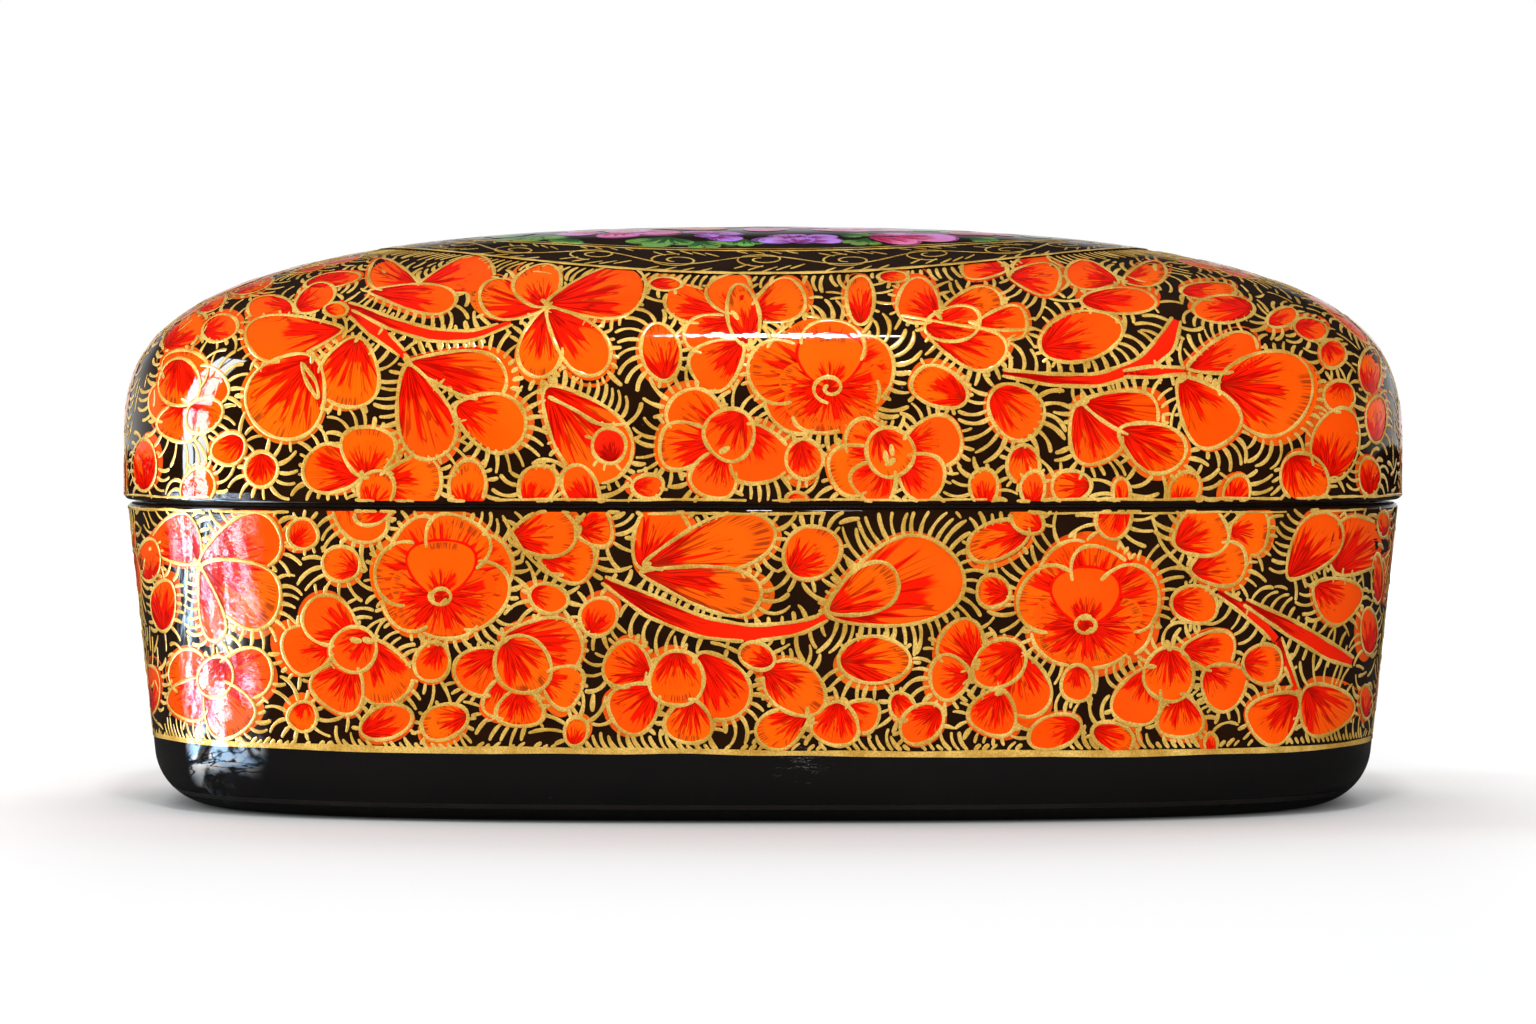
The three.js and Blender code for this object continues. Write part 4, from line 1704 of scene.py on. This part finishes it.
def flower_paint():
    """Petal colour with a red heart that ends in tongues. The value named stroke tells where a
    point lies in its petal: across and along it, and its seed plus its nearness to the edge."""
    nodes = Finish("flower_paint", Roughness=0.5, **LACQUER)
    place = nodes.place()
    across, along, mark = nodes.split(nodes.attribute("stroke"))
    seed, edge = nodes.maths("FLOOR", mark), nodes.maths("FRACT", mark)
    own = nodes.add("CombineXYZ", {0: across, 1: along})
    radius = nodes.vector("LENGTH", own, output="Value")
    way = nodes.vector("NORMALIZE", own)
    ahead = nodes.ramp(nodes.split(way)[1], 0.3, 0.9, 0.3, 1.0)

    def spikes(fineness, sharpness, drift):
        """Spikes that run out from the petal's root: 1 along the middle of each."""
        depth = nodes.maths("ADD", nodes.times(seed, 3.71), nodes.times(radius, drift))
        wide = nodes.vector("MULTIPLY", way, (fineness, fineness, 1))
        spot = nodes.vector("ADD", wide, nodes.add("CombineXYZ", {2: depth}))
        off = nodes.off_middle(nodes.noise(spot, 1.0, 1.0))
        spike = nodes.maths("SUBTRACT", 1.0, nodes.times(off, sharpness))
        return nodes.maths("MAXIMUM", spike, 0.0)

    def tongues(spike, short, long):
        """1 inside a heart that reaches from short between its spikes to long at their tips."""
        reach = nodes.times(nodes.maths("MULTIPLY_ADD", spike, long - short, short), ahead)
        return nodes.ramp(nodes.maths("SUBTRACT", reach, radius), -0.04, 0.08)

    shade = nodes.add("TexWhiteNoise", {"W": seed}, "Value", noise_dimensions="1D")
    bloom = nodes.attribute("bloom")
    hue = nodes.mix(shade, (0.96, 0.72, 1.0), (1.0, 1.2, 1.0))
    ground = nodes.mix(1.0, nodes.attribute("ground"), hue, "MULTIPLY")
    light = nodes.mix(1.0, ground, (1.0, 1.22, 2.0), "MULTIPLY")
    body = nodes.mix(nodes.ramp(nodes.noise(place, 120), 0.3, 0.7), ground, light)
    broad, fine = spikes(4.6, 7.0, 0.4), spikes(13.0, 9.0, 1.2)
    colour = nodes.mix(nodes.times(tongues(broad, 0.48, 1.02), 0.95), body, bloom)
    deep = nodes.mix(1.0, bloom, (0.45, 0.35, 0.3), "MULTIPLY")
    hairs = nodes.times(tongues(fine, 0.1, 1.12), nodes.ramp(fine, 0.35, 0.6))
    colour = nodes.mix(nodes.times(hairs, 0.7), colour, deep)
    colour = nodes.mix(nodes.times(tongues(fine, 0.12, 0.6), 0.75), colour, deep)
    rim = nodes.times(nodes.ramp(edge, 0.80, 0.9), nodes.ramp(nodes.noise(place, 900), 0.4, 0.62))
    stain = nodes.mix(1.0, colour, (0.5, 0.75, 0.8), "MULTIPLY")
    colour = nodes.mix(nodes.times(rim, 0.6), colour, stain)
    ring = nodes.times(nodes.ramp(edge, 0.55, 0.68), nodes.ramp(edge, 0.86, 0.8))
    far_end = nodes.ramp(nodes.split(way)[1], 0.93, 0.97)
    tip = nodes.times(ring, nodes.times(nodes.ramp(shade, 0.5, 0.55), far_end))
    tip = nodes.times(tip, nodes.ramp(spikes(24.0, 8.0, 0.6), 0.4, 0.75))
    nodes.set("Base Color", nodes.mix(nodes.times(tip, 0.75), colour, (0.16, 0.02, 0.004)))
    nodes.lacquer(nodes.bump(nodes.noise(place, 2400, 1.0), 0.00002, 0.4))
    return nodes.material


def gold_paint():
    """Gold powder in varnish: matt, denser in places, with a brush's ridges under the lacquer."""
    nodes = Finish("gold_paint", Metallic=0.25, **LACQUER)
    place = nodes.place()
    density = nodes.noise(place, 260, 3.0)
    grain = nodes.noise(place, 5200, 1.0)
    gold = nodes.mix(nodes.ramp(density, 0.3, 0.72), DARK_GOLD, LIGHT_GOLD)
    thin = nodes.mix(1.0, gold, (0.72, 0.68, 0.6), "MULTIPLY")
    nodes.set("Base Color", nodes.mix(nodes.ramp(grain, 0.35, 0.7), thin, gold))
    nodes.set("Roughness", nodes.ramp(density, 0.3, 0.7, 0.34, 0.5))
    nodes.lacquer(nodes.bump(grain, 0.00002, 0.5))
    return nodes.material


# The studio

FLOOR_HALF = 4.0
# The floor's glow to the eye, which the occlusion node dims into a painted shadow round the object
EVEN_LIGHT = 0.42  # that the floor shows besides the lamps' light
# Painted daylight: the glow of a patch of floor at the left that only reflections see, standing in for
# a window's light
DAYLIGHT = 32.0  # on the table at the left, as the leaning wall of the base reflects it
DAYLIGHT_FROM = (-0.05, -0.03, 0)  # the point from which its patch widens
DAYLIGHT_START, DAYLIGHT_END = (-0.01, -0.065), (-0.7, -0.5)  # where it fades in and out along X
DAYLIGHT_SLANT = (0.5, 0.25)  # y over x, between which its sides fade in
FAR = (0.2, 0.6)  # distances between which the floor turns white altogether
# Painted light: the floor glows brighter to either side of the object
ASIDE, SIDE_LIGHT = (0.06, 0.16), 0.45  # distances along X, and the light that they add
FLOOR_TO_LAMPS, FLOOR_TO_MIRRORS = (0.42, 0.42, 0.42), (0.03, 0.03, 0.03)
# Painted shadow: the floor's colour to the eye where the occlusion node finds the object near, and in
# the open
SHADED_FLOOR, OPEN_FLOOR = (0.14, 0.14, 0.14), (0.45, 0.45, 0.45)


def stage():
    """A pale floor that shows white to the eye. Its shadow round the object is partly the lamps' real
    shadow and partly a painted shadow that follows an occlusion node.
    """
    mesh = bpy.data.meshes.new("floor")
    ends = [(x * FLOOR_HALF, y * FLOOR_HALF, 0) for x, y in ((-1, -1), (1, -1), (1, 1), (-1, 1))]
    mesh.from_pydata(ends, [], [(0, 1, 2, 3)])
    floor = put("floor", mesh)
    nodes = Finish("floor", Roughness=0.9, Specular_IOR_Level=0.0)
    light = nodes.add("LightPath", {}).node
    kinds = ("Is Camera Ray", "Is Glossy Ray", "Is Transmission Ray")
    seen, glossy, passed = (light.outputs[kind] for kind in kinds)
    mirrored = nodes.maths("MAXIMUM", glossy, passed)
    place = nodes.place()
    far = nodes.ramp(nodes.vector("LENGTH", place, output="Value"), *FAR)
    # painted shadow: the occlusion node darkens the floor's colour and glow near the object
    open_sky = nodes.add("AmbientOcclusion", {"Distance": 1.0}, "AO", samples=8)
    even = nodes.times(open_sky, EVEN_LIGHT)
    # painted reflection: a patchy, bluish-white glowing patch of floor at the left, seen only by glossy
    # rays, which the lacquer shows as daylight
    x, y, _ = nodes.split(nodes.vector("SUBTRACT", place, DAYLIGHT_FROM))
    slant = nodes.maths("DIVIDE", nodes.maths("ABSOLUTE", y), nodes.maths("ABSOLUTE", x))
    near = nodes.times(nodes.ramp(x, *DAYLIGHT_START), nodes.ramp(x, *DAYLIGHT_END))
    patches = nodes.noise(nodes.vector("MULTIPLY", place, (32, 85, 1)), 1.0, 4.0, 0.6)
    branches = nodes.off_middle(nodes.noise(place, 75, 3.0))
    shape = nodes.times(nodes.ramp(patches, 0.46, 0.56, 0.05), nodes.ramp(branches, 0.005, 0.04))
    daylight = nodes.times(nodes.times(near, nodes.ramp(slant, *DAYLIGHT_SLANT)), shape)
    # painted light: a glow that brightens the floor to either side of the object
    aside = nodes.maths("ABSOLUTE", nodes.split(place)[0])
    open_light = nodes.maths("ADD", even, nodes.ramp(aside, *ASIDE, 0.0, SIDE_LIGHT))
    sky = nodes.mix(nodes.ramp(nodes.noise(place, 60, 2.0), 0.42, 0.6), (0.45, 0.7, 1.0), (1, 1, 1))
    dim = nodes.mix(mirrored, FLOOR_TO_LAMPS, FLOOR_TO_MIRRORS)
    pale = nodes.mix(nodes.ramp(open_sky, 0.05, 0.7), SHADED_FLOOR, OPEN_FLOOR)
    nodes.set("Base Color", nodes.mix(seen, dim, pale))
    nodes.set("Emission Color", nodes.mix(seen, sky, (1, 1, 1)))
    white = nodes.times(seen, nodes.maths("MAXIMUM", open_light, far))
    lit = nodes.times(mirrored, daylight)
    nodes.set("Emission Strength", nodes.maths("MULTIPLY_ADD", lit, DAYLIGHT, white))
    mesh.materials.append(nodes.material)


def world():
    """White behind the object, and a dim room in front of it, as its lacquer shows them."""
    made = bpy.data.worlds.new("room")
    bpy.context.scene.world = made
    made.use_nodes = True
    made.node_tree.nodes.clear()
    nodes = Nodes(made.node_tree)
    _, forward, up = nodes.split(nodes.add("TexCoord", {}, "Generated"))
    backdrop = nodes.times(nodes.ramp(forward, 0.3, 0.9), nodes.ramp(up, 0.32, 0.04))
    room = nodes.maths("ADD", nodes.times(backdrop, 0.7), nodes.ramp(up, 0.1, 1.0, 0.015, 0.07))
    seen = nodes.add("LightPath", {}, "Is Camera Ray")
    strength = nodes.add("Mix", {0: seen, 2: room, 3: 1.0}, 0, data_type="FLOAT")
    shine = nodes.add("Background", {"Color": (1, 1, 1), "Strength": strength})
    nodes.add("OutputWorld", {"Surface": shine})


def lamp(name, at, size, power, mirrored=True, aim=(0, 0, 0.035), colour=(1, 1, 1)):
    """A rectangular softbox at a place in metres, aimed at another. Lacquer may show it or not."""
    light = bpy.data.lights.new(name, "AREA")
    light.shape = "RECTANGLE"
    light.size, light.size_y = size
    light.energy = power
    light.color = colour
    made = put(name, light)
    made.location = at
    x, y, z = np.array(aim, float) - np.array(at, float)
    made.rotation_euler = (math.atan2(math.hypot(x, y), -z), 0, math.atan2(-x, y))
    made.visible_glossy = mirrored


# Name, place and size in metres, power in watts, and whether the lacquer mirrors it
LAMPS = (
    ("key", (0.02, -0.52, 0.88), (0.085, 0.05), 3.4, True),
    ("key_edge", (0.015, -0.52, 0.885), (0.17, 0.025), 0.9, True),
    ("fill_left", (-0.9, -1.2, 0.16), (0.9, 0.3), 13.8, False),
    ("fill_front", (0.3, -1.6, 0.16), (1.4, 0.3), 14.0, False),
    ("fill_right", (1.5, -0.5, 0.35), (0.8, 0.5), 9.0, False),
    ("back", (0.05, 0.85, 0.9), (1.4, 0.9), 13.0, False),
)

# A tall window at the left, in six panes
PANE_AT = (-1.35, -0.03, 0.05)
PANE_PITCH = (0.18, 0.36)
PANE_SIZE = (0.15, 0.32)
PANE_POWER = 3.2
PANE_COLOURS = ((1.0, 0.99, 0.97), (0.8, 0.9, 1.0))  # of the near column and of the far one


def lights():
    for settings in LAMPS:
        lamp(*settings)
    for row in range(3):
        for column, colour in enumerate(PANE_COLOURS):
            x, y, z = PANE_AT
            at = (x, y + PANE_PITCH[0] * column, z + PANE_PITCH[1] * row)
            aim = (0, 0, at[2] * 0.4)
            lamp(f"window_{row}_{column}", at, PANE_SIZE, PANE_POWER, True, aim, colour)


# Putting it together

def paint_shell(shell, front, borders, count):
    paint_front(shell, *front)
    pack_rest(shell, count)
    shell.ink()
    borders(shell)
    shell.hatch()
    shell.fill_gaps(scatter(shell.surface, count))


def paint_shells():
    lacquer, inner = black_lacquer(), inner_black()
    flowers, gold = flower_paint(), gold_paint()
    base_shell(lacquer, inner)
    lid_shell(lacquer, inner)
    lip(black_card())

    base = Shell(base_outside, BASE_LOW, BASE_HIGH)
    base_front = (BASE_STEMS, BASE_ROSETTES, BASE_FLOWERS, BASE_BUDS)
    paint_shell(base, base_front, base_borders, BASE_PLACES)

    lid = Shell(lid_outside, LID_LOW, LID_HIGH)
    lid_front = (LID_STEMS, LID_ROSETTES, LID_CROWN_FLOWERS + LID_FLOWERS, LID_BUDS)
    paint_shell(lid, lid_front, lid_borders, LID_PLACES)
    panel(lid, lacquer, flowers, gold)

    for name, shell in (("base", base), ("lid", lid)):
        shell.flowers.piece(f"{name}_flowers", name, f"painted_{name}", flowers)
        shell.gold.piece(f"{name}_outlines", name, f"painted_{name}", gold)
        shell.hatching.piece(f"{name}_hatching", name, f"painted_{name}", gold)


paint_shells()
stage()
world()
lights()
bpy.context.scene.view_settings.view_transform = "Standard"
